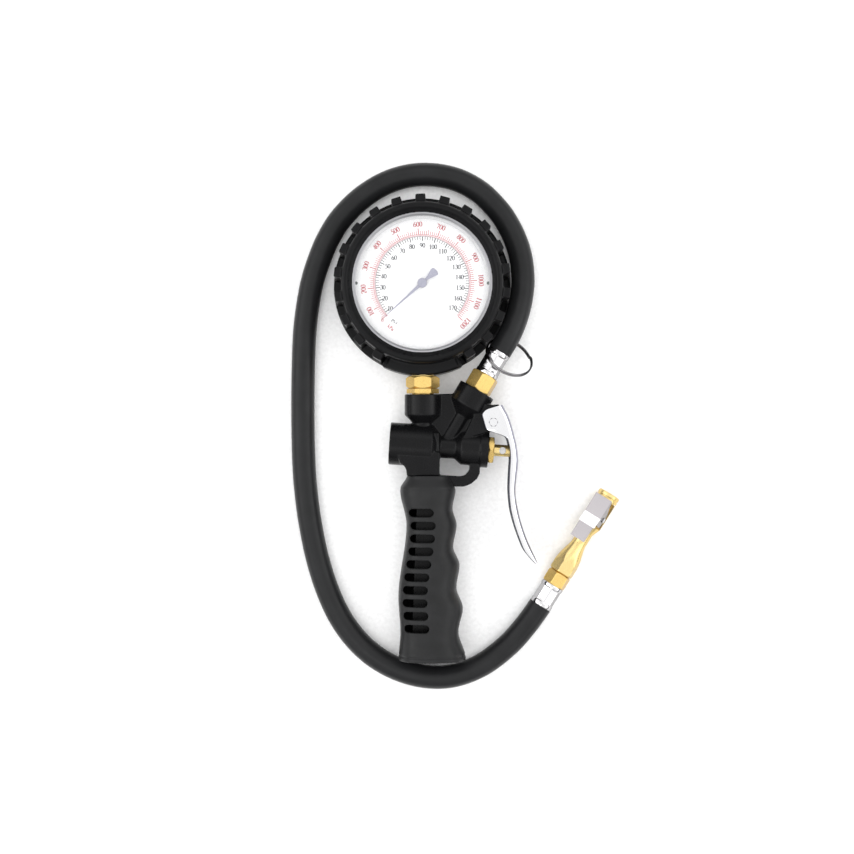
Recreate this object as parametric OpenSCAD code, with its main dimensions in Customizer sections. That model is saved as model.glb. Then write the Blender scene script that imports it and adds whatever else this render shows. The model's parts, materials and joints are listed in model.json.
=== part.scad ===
// Tyre inflator: dial gauge in a rubber boot, die-cast valve body with a pistol grip,
// a finger lever, and a rubber hose that ends in a clip-on chuck.
// The tool lies on its back. +Y runs from the grip to the gauge and +Z faces the dial's reader.

/* [Gauge] */
// Outer radius of the gauge case
case_r = 40.9; // [40.5:0.1:41]
// Radius of the boot's rear flange
boot_flange_r = 49.4; // [48.5:0.1:49.6]
// Number of places for grip blocks around the boot
boot_block_places = 22; // [18:1:26]
// Length of the pointer from its axis to its tip
pointer_len = 27.5; // [24:0.5:30]
// Pointer angle at no pressure, clockwise from straight up
pointer_rest = -132; // [-135:1:-128]

/* [Valve body] */
// Height of the body's centre plane above the surface that the tool lies on
axis_z = 18.8; // [18.7:0.1:19]
// Tilt of the valve bore, its lever end lower
valve_tilt = 3.7; // [3:0.1:4.5]
// Outer radius of the air inlet boss
inlet_boss_r = 11.6; // [11:0.1:12]
// Wall radius of the threaded air inlet
inlet_r = 5.75; // [5.5:0.05:6]
// Lean of the hose boss from the gauge towards the lever
hose_tilt = 30.5; // [30:0.5:31]

/* [Lever] */
// Width of the lever channel
lever_w = 19; // [18:0.5:20]
// Sheet thickness of the lever
lever_t = 1.5; // [1.2:0.1:1.8]

/* [Grip] */
// Wall thickness of the grip shell
grip_wall = 2.6; // [2.2:0.1:3]
// Number of slots in the front of the grip
grip_slots = 10; // [8:1:10]

/* [Hose] */
// Outer diameter of the hose
hose_d = 13; // [12:0.5:13]
// Lean of the chuck from +Y towards +X
chuck_tilt = 32; // [31:0.5:33]

/* [Hidden] */
$fn = 64;

black = [0.07, 0.07, 0.08];
dark_grey = [0.16, 0.16, 0.17];
brass = [0.86, 0.68, 0.32];
steel = [0.72, 0.72, 0.74];
chrome = [0.88, 0.88, 0.9];
rubber = [0.1, 0.1, 0.1];

// A cut runs this far past the faces that it opens
over = 1;
// Radial clearance of a part that turns or slides in a hole
running_gap = 0.06;
// Radial clearance of a fixed spigot in its hole
seat_gap = 0.05;

// Gauge: everything is set out from its axis
gauge_x = -6.5;
gauge_y = 77.9;
boot_wall_r = 43.9;
boot_lip_r = 37.8;
boot_h = 36.3;
boot_back = 4.4;
boot_hole_r = 31.5;
boot_pad_h = 26.8;
boot_pad_r = 50.2;
block_r = 48.1;
block_w = 5.5;
block_z = [6, 32.8];
block_first = -1.2;
block_gaps = [10, 11, 12];
case_wall = 1.2;
// The case's own heights are measured from this far up
case_lift = 1.8;
neck_z = axis_z - case_lift;
case_z = [2.7, 27.4];
neck_hole_r = 7;
bezel_r = 36.9;
bezel_lip_r = 36.2;
bezel_top = 31.2;
window_z = [28.5, 30.3];
window_r = 38.25;
dial_r = 39;
dial_z = [24.4, 25.2];
dial_screw_r = 35.9;
hub_r = 2.7;
pointer_z = [26.6, 28];

// Movement: the sector drives the pinion eight to one
gear_module = 0.3;
pinion_teeth = 12;
sector_teeth = 96;
pressure_angle = 25;
gear_backlash = 0.08;
arbor_r = 0.8;
sector_y = -(pinion_teeth + sector_teeth) * gear_module / 2;
tail_len = 6.4;
tail_angle = 254;
plate_z = [8.6, 19];
plate_t = 1.2;
socket_top = -24.5;
socket_reach = 38;
tube_r = 27;
tube_t = 3;
tube_z = [10, 18.8];
tip_angle = -25;
tip_pin_r = 22;
tip_pin_angle = -29;
link_pin_r = 0.5;
link_t = 0.8;
link_z = 11.6;
tip_pin = tip_pin_r * [cos(tip_pin_angle), sin(tip_pin_angle)];
tail_pin = [tail_len * cos(tail_angle), sector_y + tail_len * sin(tail_angle)];
link_len = norm(tip_pin - tail_pin);
link_angle = atan2(tip_pin[1] - tail_pin[1], tip_pin[0] - tail_pin[0]);
link_slot = 3.3;

// Stem between the gauge and the body, stations along Y
stem_x = -6.2;
gauge_nut_y = [20.6, 27.6];
adapter_hex_y = [18, 20.5];
boss_top = 17.5;
boss_bore = 10;
gauge_boss_r = 10;

// Valve bore, stations along it from its datum point
valve_at = [-3.9, -10.7];
inlet_end = -20.6;
inlet_len = 10;
chamber_r = 5.2;
seat_t = 3;
bonnet_t = 17;
body_end = 33.7;
bonnet_r = 6.2;
nut_end = 36.7;
stem_r = 3.2;
shaft_r = 1.5;
stem_end = 47.1;
vent_t = 41.5;

// Lever pivot and outline, from the head down to the tip
pivot = [32.2, 2.2];
pin_r = 1.95;
ear_z = around(7);
lever_outer = [[37.6, 11.4], [41.6, 2.4], [44.9, -10.1], [45.8, -18.4], [45.1, -26.8],
    [44.3, -35.1], [45.3, -43.4], [47, -50.9], [49.9, -60.1], [53.7, -68.5], [56.2, -74.3]];
lever_inner = [[48.9, -68], [44, -54.9], [41.7, -45.9], [40.6, -34.7], [40.8, -25.5],
    [41.3, -18.4], [41.1, -12.6], [39.1, -5.3]];
lever_head = [[33.1, -3.7], [28.1, -1.5], [25.9, 6.3], [27.7, 8.6], [35.2, 11.1]];

// Grip: its left edge, right edge and half thickness at the stations where they turn
grip_left = [[-27, -14.9], [-34.5, -18.7], [-54, -15.2], [-94, -19.6], [-113, -18.5],
    [-127.8, -19.5]];
grip_right = [[-27, 8.8], [-35, 11.8], [-45, 10.1], [-54, 12.4], [-66.2, 10.5], [-76, 14],
    [-88.5, 12.3], [-99.7, 15.8], [-112.5, 13.4], [-127.8, 17.5]];
grip_half = [[-27, 12], [-35, 14.8], [-54, 14.6], [-94, 16.2], [-112, 15.9], [-127.8, 18.7]];
grip_y = [-27, -127.8];
grip_square = 2.5;
slot_size = [13.5, 4.3];
slot_first = -47;
slot_pitch = 6.97;
slot_from_left = 9.2;

// Hose: its route lies on the ground except where it comes down from the body
hose_r = hose_d / 2;
hose_route = [[36, 41, 18.8], [39, 46, 18.8], [42, 51.5, 18.5], [44.5, 57.5, 17.5],
    [46.6, 64, 15.7], [48.2, 71, 13.5], [49.2, 79, 11.2], [49, 87.5, 9.1], [47.8, 95.5, 7.6],
    [45.3, 103.5, 6.8], [41, 112.5, 6.5], [35, 121, 6.5], [24.5, 131, 6.5],
    [10, 138, 6.5], [-7.5, 140, 6.5], [-24, 136.5, 6.5], [-39, 128, 6.5], [-51, 116.5, 6.5],
    [-58.5, 105, 6.5], [-63.5, 93.5, 6.5], [-67.5, 81, 6.5], [-70.2, 67, 6.5],
    [-72, 51, 6.5], [-72.8, 28, 6.5], [-72.9, 2, 6.5], [-72.3, -22, 6.5], [-70.8, -40, 6.5],
    [-68.3, -57, 6.5], [-64.4, -75, 6.5], [-58.5, -93, 6.5], [-50.5, -109, 6.5],
    [-39.5, -122.5, 6.5], [-25.5, -132.5, 6.5], [-8.5, -138.5, 6.5], [9, -139, 6.5],
    [26, -133, 6.5], [41, -121.8, 6.6], [51.5, -110, 6.9], [59, -99.5, 7]];
ferrule_r = 6.45;
nipple_r = 3.9;
// Stations on the body's hose fitting, back from the hose's first face
body_ferrule_len = 14.8;
fitting_hex_len = 9.6;
boss_face = -(body_ferrule_len + fitting_hex_len);
hose_boss_r = 10.4;
hose_boss_len = 10.5;
hose_bore_r = 7;

// Split ring: two turns round the ferrule, sloping up towards the body
ring_r = 13.3;
ring_wire_r = 0.5;
ring_lift = 2.08;
ring_slope = 46;
ring_offset = [6, 0, 0];

// Chuck, stations from the hose's last face
chuck_ferrule_len = 13.6;
chuck_hex_end = 20.9;
head_z = [53, 68.6];
head_r = 6.2;
chuck_bore_r = 4.1;
nose_end = 73.2;
clip_roll = 160;
clip_pin_at = [1.5, 58.5];
clip_in = 4.3;
clip_t = 0.8;
clip_top = 6.9;

// ---- Shared shapes ----

function ease(t) = t * t * (3 - 2 * t);

// Value at y of a table of [station, value], level at every station
function eased(y, table, i = 0) =
    i >= len(table) - 2 || y >= table[i + 1][0]
    ? table[i][1] + (table[i + 1][1] - table[i][1])
        * ease(min(1, max(0, (y - table[i][0]) / (table[i + 1][0] - table[i][0]))))
    : eased(y, table, i + 1);

// Smooth curve through points, with steps pieces between each pair
function curve(p, steps) = [
    for (i = [0 : len(p) - 2], k = [0 : steps - 1])
        let (a = p[max(i - 1, 0)], b = p[i], c = p[i + 1], d = p[min(i + 2, len(p) - 1)],
             t = k / steps)
        0.5 * (2 * b + (c - a) * t + (2 * a - 5 * b + 4 * c - d) * t * t
            + (3 * b - a - 3 * c + d) * t * t * t),
    p[len(p) - 1]
];

function unit(v) = v / norm(v);

// Heights this far below and above the body's centre plane
function around(half) = [axis_z - half, axis_z + half];

// Ring of points of radius r round p, square to the direction along
function ring_at(p, along, r, sides) =
    let (side = unit(cross([0, 0, 1], along)), top = cross(along, side))
    [for (k = [0 : sides - 1]) p + r * (cos(360 * k / sides) * side
        + sin(360 * k / sides) * top)];

// Rings along a path; the first and last may be given their own directions
function tube_rings(path, r, sides, first, last) = [
    for (i = [0 : len(path) - 1])
        ring_at(path[i],
            i == 0 && first != undef ? first
            : i == len(path) - 1 && last != undef ? last
            : unit(path[min(i + 1, len(path) - 1)] - path[max(i - 1, 0)]),
            r, sides)
];

// Closed solid through a list of rings that have the same number of points.
// Split is for rings whose four-sided faces would be twisted.
module skin(rings, split = false) {
    n = len(rings[0]);
    last = len(rings) - 1;
    polyhedron(
        points = [for (ring = rings) each ring],
        faces = concat(
            [[for (k = [0 : n - 1]) k]],
            [[for (k = [n - 1 : -1 : 0]) last * n + k]],
            [for (i = [0 : last - 1], k = [0 : n - 1])
                let (a = i * n + k, b = i * n + (k + 1) % n)
                each split ? [[a, a + n, b + n], [a, b + n, b]] : [[a, a + n, b + n, b]]]),
        convexity = 10);
}

module swept_tube(path, r, sides, first = undef, last = undef) {
    skin(tube_rings(path, r, sides, first, last), true);
}

function helix(r, turns, rise, steps) = [
    for (k = [0 : turns * steps])
        [r * cos(360 * k / steps), r * sin(360 * k / steps), rise * k / (turns * steps)]
];

// Tube along Z between two heights
module sleeve(r_out, r_in, z) {
    difference() {
        translate([0, 0, z[0]]) cylinder(r = r_out, h = z[1] - z[0]);
        translate([0, 0, z[0] - over]) cylinder(r = r_in, h = z[1] - z[0] + 2 * over);
    }
}

module rod(r, z) {
    translate([0, 0, z[0]]) cylinder(r = r, h = z[1] - z[0]);
}

module cone(r1, r2, z) {
    translate([0, 0, z[0]]) cylinder(r1 = r1, r2 = r2, h = z[1] - z[0]);
}

// Hexagon bar along Z with turned corners at both ends
module hex_bar(across_flats, z, corner_cut = 0.9) {
    r = across_flats / sqrt(3);
    h = z[1] - z[0];
    translate([0, 0, z[0]])
        intersection() {
            cylinder(r = r, h = h, $fn = 6);
            rotate_extrude()
                polygon([[0, 0], [r - corner_cut, 0], [r, corner_cut / 2],
                    [r, h - corner_cut / 2], [r - corner_cut, h], [0, h]]);
        }
}

module plate(outline, z) {
    translate([0, 0, z[0]]) linear_extrude(z[1] - z[0]) polygon(outline);
}

// ---- Frames: each puts its own +Z along the part's axis ----

module at_gauge() {
    translate([gauge_x, gauge_y, case_lift]) children();
}

// Z runs up the gauge stem, with the same stations as Y
module on_stem() {
    translate([stem_x, 0, axis_z]) rotate([-90, 0, 0]) children();
}

module on_valve() {
    translate([valve_at[0], valve_at[1], axis_z])
        rotate([0, 0, -valve_tilt]) rotate([0, 90, 0]) children();
}

module on_hose_start() {
    translate(hose_route[0]) rotate([0, 0, -hose_tilt]) rotate([-90, 0, 0]) children();
}

module on_chuck() {
    translate(hose_route[len(hose_route) - 1])
        rotate([0, 0, -chuck_tilt]) rotate([-90, 0, 0]) children();
}

// As on_chuck, with Y up out of the clip
module on_clip() {
    on_chuck() rotate([0, 0, clip_roll]) children();
}

// ---- Gauge housing ----

module boot_profile() {
    polygon([[boot_hole_r, 0], [boot_flange_r - 0.8, 0], [boot_flange_r, 0.8],
        [boot_flange_r, 3.4], [boot_flange_r - 0.6, 4], [boot_wall_r, 4.4],
        [boot_wall_r, boot_h - 2.9], [43.4, boot_h - 1.1], [42.2, boot_h], [41.2, boot_h],
        [38.4, boot_h - 1.9], [boot_lip_r, boot_h - 2.5], [boot_lip_r, boot_h - 3.2],
        [case_r + 0.1, boot_h - 3.2], [case_r + 0.1, boot_back], [boot_hole_r, boot_back]]);
}

// Block k, counted clockwise from the top
module boot_block(k) {
    rotate([0, 0, 90 - block_first - 360 / boot_block_places * k])
        translate([case_r + over, -block_w / 2, block_z[0]])
            cube([block_r - case_r - over, block_w, block_z[1] - block_z[0]]);
}

module gauge_boot() {
    pad_half = 26;
    color(black)
        translate([gauge_x, gauge_y, 0])
            difference() {
                union() {
                    rotate_extrude() boot_profile();
                    for (k = [0 : boot_block_places - 1])
                        if (len(search(k, block_gaps)) == 0) boot_block(k);
                    intersection() {
                        sleeve(boot_pad_r, case_r + over, [0.8, boot_pad_h]);
                        plate([[0, 0], 80 * [sin(-pad_half), -cos(pad_half)],
                            80 * [sin(pad_half), -cos(pad_half)]], [0, boot_pad_h]);
                    }
                }
                translate([stem_x - gauge_x, -30, axis_z]) rotate([90, 0, 0])
                    cylinder(r = neck_hole_r, h = 30);
            }
}

module gauge_case() {
    lug = [7, 6, 4];
    color(steel)
        at_gauge()
            difference() {
                union() {
                    difference() {
                        rod(case_r, case_z);
                        rod(case_r - case_wall, [case_z[0] + case_wall, case_z[1] + over]);
                    }
                    sleeve(case_r - 0.5, bezel_r + 0.1, [case_z[1] - 0.8, case_z[1]]);
                    for (s = [-1, 1])
                        intersection() {
                            translate([s * (dial_screw_r + 0.5) - lug[0] / 2, -lug[1] / 2,
                                dial_z[0] - lug[2]]) cube(lug);
                            rod(case_r - 0.5, [0, dial_z[0]]);
                        }
                }
                translate([stem_x - gauge_x, -30, neck_z]) rotate([90, 0, 0])
                    cylinder(r = neck_hole_r, h = 30);
                for (s = [-1, 1])
                    translate([s * dial_screw_r, 0, 0])
                        rod(0.7 + seat_gap, [dial_z[0] - lug[2] - over, dial_z[0] + over]);
                for (x = [-6, 4])
                    translate([x, -27.3, 0]) rod(1.6 + seat_gap, [0, case_z[0] + 2 * over]);
            }
}

module case_screws() {
    color(steel)
        at_gauge()
            for (x = [-6, 4])
                translate([x, -27.3, 0]) {
                    rod(1.6, [case_z[0], 16]);
                    rod(2.6, [case_z[0] - 1.2, case_z[0]]);
                }
}

module gauge_bezel() {
    color(steel)
        at_gauge()
            rotate_extrude()
                polygon([[window_r + 0.05, case_z[1]], [case_r, case_z[1]],
                    [case_r, bezel_top - 0.4], [case_r - 0.4, bezel_top],
                    [bezel_r + 0.3, bezel_top], [bezel_r, bezel_top - 0.3],
                    [bezel_lip_r, window_z[1]], [window_r + 0.05, window_z[1]]]);
}

module gauge_window() {
    color([0.85, 0.9, 0.95, 0.3])
        at_gauge() rod(window_r, window_z);
}

module window_gasket() {
    color(rubber)
        at_gauge() sleeve(window_r, bezel_r + 0.1, [case_z[1], window_z[0]]);
}

module gauge_dial() {
    color("white")
        at_gauge()
            difference() {
                rod(dial_r, dial_z);
                rod(2, [dial_z[0] - over, dial_z[1] + over]);
                for (s = [-1, 1])
                    translate([s * dial_screw_r, 0, 0])
                        rod(0.7 + seat_gap, [dial_z[0] - over, dial_z[1] + over]);
            }
}

module dial_screws() {
    color(black)
        at_gauge()
            for (s = [-1, 1])
                translate([s * dial_screw_r, 0, 0]) {
                    rod(0.7, [dial_z[0] - 3.6, dial_z[1]]);
                    rod(0.85, [dial_z[1], dial_z[1] + 0.5]);
                }
}

// ---- Gauge movement, at the rest pose ----

module gauge_pointer() {
    base = 1.1;
    tail = 9.8;
    color([0.6, 0.6, 0.68])
        at_gauge()
            rotate([0, 0, 90 - pointer_rest])
                difference() {
                    union() {
                        rod(hub_r, pointer_z);
                        plate([[pointer_len, 0.15], [2, base], [-2, 0.8], [-tail + 1, 2.5],
                            [-tail, 1.5], [-tail, -1.5], [-tail + 1, -2.5], [-2, -0.8],
                            [2, -base], [pointer_len, -0.15]],
                            [pointer_z[0] + 0.4, pointer_z[0] + 0.9]);
                    }
                    rod(arbor_r, [pointer_z[0] - over, pointer_z[1] - 0.4]);
                }
}

function roll_angle(r, base_r) =
    let (t = sqrt(pow(max(r, base_r) / base_r, 2) - 1)) t * 180 / PI - atan(t);

// Half the angle of a tooth at radius r
function tooth_half(r, teeth) =
    let (pitch_r = teeth * gear_module / 2, base_r = pitch_r * cos(pressure_angle))
    90 / teeth - gear_backlash / 2 / pitch_r * 180 / PI
        + roll_angle(pitch_r, base_r) - roll_angle(r, base_r);

// Involute tooth centred on +X
module tooth(teeth) {
    pitch_r = teeth * gear_module / 2;
    root_r = pitch_r - 1.1 * gear_module;
    tip_r = pitch_r + 0.8 * gear_module;
    radii = [root_r - 0.1, root_r, for (k = [1 : 4]) root_r + (tip_r - root_r) * k / 4];
    side = [for (r = radii) let (a = tooth_half(r, teeth)) r * [cos(a), sin(a)]];
    polygon(concat(side, [for (k = [len(side) - 1 : -1 : 0]) [side[k][0], -side[k][1]]]));
}

module pinion_arbor() {
    root_r = (pinion_teeth / 2 - 1.1) * gear_module;
    color(brass)
        at_gauge() {
            rod(arbor_r, [plate_z[0], pointer_z[1] - 0.4]);
            translate([0, 0, 13]) linear_extrude(3) {
                circle(r = root_r);
                for (k = [0 : pinion_teeth - 1])
                    rotate(-90 + 360 / pinion_teeth * (k + 0.5)) tooth(pinion_teeth);
            }
        }
}

module sector_gear() {
    first = -42;
    last = 9;
    pitch = 360 / sector_teeth;
    root_r = (sector_teeth / 2 - 1.1) * gear_module;
    sector_z = [13.6, 15.4];
    color(brass)
        at_gauge()
            translate([0, sector_y, 0]) {
                rod(arbor_r, [plate_z[0], plate_z[1] + plate_t]);
                rod(2, [12.8, 17]);
                plate(concat([[0, 0]], [for (a = [first : 3 : last])
                    root_r * [cos(90 + a), sin(90 + a)]]), sector_z);
                translate([0, 0, sector_z[0]]) linear_extrude(sector_z[1] - sector_z[0])
                    for (k = [ceil(first / pitch) + 1 : floor(last / pitch) - 1])
                        rotate(90 + k * pitch) tooth(sector_teeth);
                rotate([0, 0, tail_angle]) {
                    plate([[0, 1.4], [tail_len, 1.1], [tail_len, -1.1], [0, -1.4]], sector_z);
                    translate([tail_len, 0, 0]) rod(1.1, sector_z);
                    translate([tail_len, 0, 0]) rod(link_pin_r, [link_z - 0.4, sector_z[0]]);
                }
            }
}

module gauge_link() {
    half = 1.15;
    slot_half = link_pin_r + 0.25;
    color(brass)
        at_gauge()
            translate([tail_pin[0], tail_pin[1], link_z]) rotate([0, 0, link_angle])
                difference() {
                    union() {
                        cylinder(r = 1.1, h = link_t);
                        translate([0, -1, 0]) cube([link_len - link_slot, 2, link_t]);
                        translate([link_len - link_slot, -half, 0])
                            cube([link_slot, 2 * half, link_t]);
                        for (x = [link_len - link_slot, link_len])
                            translate([x, 0, 0]) cylinder(r = half, h = link_t);
                    }
                    translate([0, 0, -over])
                        cylinder(r = link_pin_r + running_gap, h = link_t + 2 * over);
                    translate([link_len - link_slot, -slot_half, -over])
                        cube([link_slot, 2 * slot_half, link_t + 2 * over]);
                    for (x = [link_len - link_slot, link_len])
                        translate([x, 0, -over])
                            cylinder(r = slot_half, h = link_t + 2 * over);
                }
}

module movement_frame() {
    half = 7;
    top = 5;
    pillar = [5.4, 3.4];
    color(brass)
        at_gauge()
            difference() {
                union() {
                    for (z = plate_z)
                        translate([-half, socket_top - 6, z])
                            cube([2 * half, top - socket_top + 6, plate_t]);
                    for (s = [-1, 1])
                        translate([s * pillar[0], pillar[1], 0])
                            rod(1.4, [plate_z[0] + plate_t / 2, plate_z[1] + plate_t / 2]);
                }
                for (y = [0, sector_y])
                    translate([0, y, 0])
                        rod(arbor_r + running_gap, [0, plate_z[1] + plate_t + over]);
                for (x = [-6, 4])
                    translate([x, -27.3, 0]) rod(1.6 + seat_gap, [0, plate_z[0] + 2 * over]);
            }
}

// Flat spiral that takes up the play in the gears
module hairspring() {
    turns = 4;
    steps = 16;
    inner = 1.4;
    pitch = 0.9;
    wire = 0.25;
    edge = [for (k = [0 : turns * steps])
        (inner + pitch * k / steps) * [cos(360 * k / steps), sin(360 * k / steps)]];
    color(steel)
        at_gauge()
            plate(concat(edge, [for (k = [len(edge) - 1 : -1 : 0])
                edge[k] * (1 + wire / norm(edge[k]))]), [17.3, 17.8]);
}

module socket_block() {
    translate([-10, -socket_reach, plate_z[0] + plate_t])
        cube([18, socket_reach + socket_top, plate_z[1] - plate_z[0] - plate_t]);
}

module bourdon_tube() {
    sweep = 277;
    color([0.8, 0.6, 0.3])
        at_gauge()
            difference() {
                rotate([0, 0, tip_angle]) rotate_extrude(angle = sweep)
                    translate([tube_r - tube_t / 2, tube_z[0]])
                        square([tube_t, tube_z[1] - tube_z[0]]);
                socket_block();
            }
}

module bourdon_tip() {
    arc = 7;
    ear_z = [12.7, 13.7];
    color(brass)
        at_gauge() {
            rotate([0, 0, tip_angle - arc]) rotate_extrude(angle = arc)
                translate([tube_r - tube_t / 2 - 0.4, tube_z[0] - 0.4])
                    square([tube_t + 0.8, tube_z[1] - tube_z[0] + 0.8]);
            rotate([0, 0, tip_pin_angle]) {
                translate([tip_pin_r, -1.2, ear_z[0]])
                    cube([tube_r - tube_t / 2 - tip_pin_r, 2.4, ear_z[1] - ear_z[0]]);
                translate([tip_pin_r, 0, 0]) rod(1.2, ear_z);
                translate([tip_pin_r, 0, 0]) rod(link_pin_r, [link_z - 0.4, ear_z[0]]);
            }
        }
}

// ---- Gauge stem ----

module gauge_socket() {
    color(brass) {
        at_gauge()
            difference() {
                socket_block();
                for (x = [-6, 4])
                    translate([x, -27.3, 0]) rod(1.6 + seat_gap, [0, 16.5]);
            }
        on_stem()
            difference() {
                union() {
                    rod(6.2, [gauge_nut_y[1], gauge_y - socket_reach]);
                    rod(5, [24, gauge_nut_y[1]]);
                }
                rod(1.5, [24 - over, gauge_y - socket_reach + over]);
            }
    }
}

module gauge_nut() {
    color(brass)
        on_stem()
            difference() {
                hex_bar(16, gauge_nut_y, 1.4);
                rod(5 + seat_gap, [gauge_nut_y[0] - over, gauge_nut_y[1] + over]);
            }
}

module gauge_adapter() {
    color(brass)
        on_stem()
            difference() {
                union() {
                    hex_bar(15, adapter_hex_y, 0.5);
                    rod(6, [boss_top - boss_bore + 0.2, adapter_hex_y[0]]);
                    rod(5, [adapter_hex_y[1], 23.8]);
                }
                rod(1.5, [boss_top - boss_bore - over, 24]);
            }
}

// ---- Valve body ----

module body_outside() {
    neck = [[-20.5, -14], [-18.4, -20.2], [-16.2, -21.6], [-15.2, -23.8], [-14.9, -26.9],
        [3, -26.9], [3, -14]];
    tang = [[-11.5, -26], [-9.9, -46], [-12.1, -109], [-12, -118.4], [4.5, -118.4],
        [2.5, -46], [2.5, -26]];
    guard = [[25, -19], [25, -25.6], [23.6, -28.6], [20.1, -31.6], [16.3, -33],
        [0, -33], [0, -26.7], [3, -26.7], [14.5, -27.4], [17, -26.7], [19.2, -24.1],
        [19.5, -19]];
    web = [[-7, 6], [-7, boss_top], [11.6, 17.9], [20, 6], [26, 2], [27, -6], [-8, -8]];
    ear = [[20, 2], [22.6, 8.6], [28.6, 11.4], [35.4, 12], [35.8, 7.6], [35.6, 1.6],
        [32, -2.4], [24, -4.6], [16, -6]];
    on_stem() {
        rod(gauge_boss_r, [6.2, boss_top]);
        cone(5.5, gauge_boss_r, [1.8, 6.2]);
        rod(5.5, [-6, 1.8]);
    }
    on_valve() {
        rod(inlet_boss_r, [inlet_end, 2.6]);
        cone(inlet_boss_r, 7, [2.6, 7]);
        rod(6.2, [7, 15.4]);
        cone(6.2, 9.2, [15.4, 19]);
        rod(9.2, [19, 29.2]);
        rod(9.95, [29.2, body_end]);
    }
    on_hose_start() {
        rod(hose_boss_r, [boss_face - hose_boss_len, boss_face]);
        cone(4.3, hose_boss_r, [boss_face - hose_boss_len - 6.1, boss_face - hose_boss_len]);
        rod(4.3, [boss_face - 34, boss_face - hose_boss_len - 6]);
    }
    plate(web, around(2.4));
    plate(ear, ear_z);
    plate(guard, around(4.5));
    plate(neck, around(10));
    plate(tang, around(5));
}

module body_bores() {
    on_stem()
        rod(6 + seat_gap, [boss_top - boss_bore, boss_top + over]);
    on_valve() {
        rod(inlet_r, [inlet_end - over, inlet_end + inlet_len]);
        rod(chamber_r, [inlet_end + inlet_len - 0.1, seat_t]);
        rod(2.2, [seat_t - 0.1, bonnet_t + 0.1]);
        rod(bonnet_r, [bonnet_t, body_end + over]);
    }
    on_hose_start() {
        rod(hose_bore_r, [boss_face - 8.6, boss_face + over]);
        rod(2.2, [boss_face - 35.5, boss_face - 8.5]);
    }
    gauge_passage();
    translate([pivot[0], pivot[1], 0])
        rod(pin_r + seat_gap, [ear_z[0] - over, ear_z[1] + over]);
}

// Drilled way from the outlet side of the valve up to the gauge boss
module gauge_passage() {
    from = [stem_x, boss_top - boss_bore + 0.5];
    to = [7.1, -11.4];
    way = to - from;
    translate([from[0], from[1], axis_z])
        rotate([0, 0, atan2(way[1], way[0])]) rotate([0, 90, 0])
            cylinder(r = 1.5, h = norm(way));
}

module valve_body() {
    color(black)
        difference() {
            body_outside();
            body_bores();
        }
}

module inlet_strainer() {
    color(brass)
        on_valve()
            difference() {
                rod(chamber_r - seat_gap, [-10.5, -9]);
                for (a = [0 : 60 : 300])
                    rotate([0, 0, a]) translate([3.4, 0, 0]) rod(0.8, [-12, -8]);
                rod(0.8, [-12, -8]);
            }
}

module valve_spring() {
    wire = 0.3;
    length = 7.3;
    color(steel)
        on_valve()
            translate([0, 0, -9 + wire])
                swept_tube(helix(2.6, 5, length - 2 * wire, 16), wire, 6);
}

module valve_stem() {
    color(brass)
        on_valve()
            difference() {
                union() {
                    rod(1.5, [-4, -1.5]);
                    rod(3.6, [-1.5, 1.4]);
                    rod(shaft_r, [1.4, 22]);
                    rod(stem_r, [22, stem_end - 1.6]);
                    cone(stem_r, stem_r - 1.8, [stem_end - 1.6, stem_end]);
                }
                translate([0, 0, vent_t]) rotate([0, 90, 0])
                    translate([0, 0, -10]) cylinder(r = 1.9, h = 20);
            }
}

module valve_seal() {
    color(rubber)
        on_valve() sleeve(3.9, shaft_r, [1.4, 2.9]);
}

module stem_oring() {
    color(rubber)
        on_valve()
            translate([0, 0, 28]) rotate_extrude() translate([3.9, 0]) circle(r = 0.6, $fn = 24);
}

module bonnet_nut() {
    color(brass)
        on_valve()
            difference() {
                union() {
                    hex_bar(14, [body_end + 0.1, nut_end], 0.8);
                    rod(bonnet_r - seat_gap, [24, body_end + 0.1]);
                }
                rod(stem_r + running_gap, [24 - over, nut_end + over]);
                rod(4.6, [27.3, 28.7]);
            }
}

// ---- Lever ----

module lever() {
    outer = curve(lever_outer, 3);
    inner = curve(lever_inner, 3);
    z = [axis_z - lever_w / 2, axis_z + lever_w / 2];
    inside = concat([[lever_outer[0][0] - lever_t, 20]],
        [for (p = outer) [p[0] - lever_t, p[1]]], [[48, -85], [10, -85], [10, 20]]);
    color(chrome)
        difference() {
            plate(concat(outer, [[54.9, -75]], inner, lever_head), z);
            plate(inside, [z[0] + lever_t, z[1] - lever_t]);
            translate([pivot[0], pivot[1], 0])
                rod(pin_r + running_gap, [z[0] - over, z[1] + over]);
        }
}

module lever_pin() {
    z = [axis_z - lever_w / 2 - 0.3, axis_z + lever_w / 2 + 0.3];
    color(steel)
        translate([pivot[0], pivot[1], 0]) {
            rod(pin_r, z);
            rod(2.4, [z[0] - 0.7, z[0]]);
            rod(2.4, [z[1], z[1] + 0.7]);
        }
}

// ---- Grip ----

function power(v, n) = sign(v) * pow(abs(v), n);

// Rounded section of the grip at station y, drawn in by inset
function grip_ring(y, inset, sides = 28) =
    let (left = eased(y, grip_left) + inset, right = eased(y, grip_right) - inset,
         half = eased(y, grip_half) - inset)
    [for (k = [0 : sides - 1]) let (a = 360 * k / sides) [
        (left + right) / 2 + (right - left) / 2 * power(cos(a), 2 / grip_square), y,
        axis_z + half * power(sin(a), 2 / grip_square)]];

module grip_loft(inset, from, to, step = 3.2) {
    count = ceil((from - to) / step);
    skin([for (k = [0 : count]) grip_ring(from + (to - from) * k / count, inset)]);
}

module grip_slot(y) {
    reach = (slot_size[0] - slot_size[1]) / 2;
    translate([eased(y, grip_left) + slot_from_left, y, axis_z]) {
        translate([-reach, -slot_size[1] / 2, 0]) cube([2 * reach, slot_size[1], 20]);
        for (s = [-1, 1])
            translate([s * reach, 0, 0]) cylinder(r = slot_size[1] / 2, h = 20);
    }
}

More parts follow.
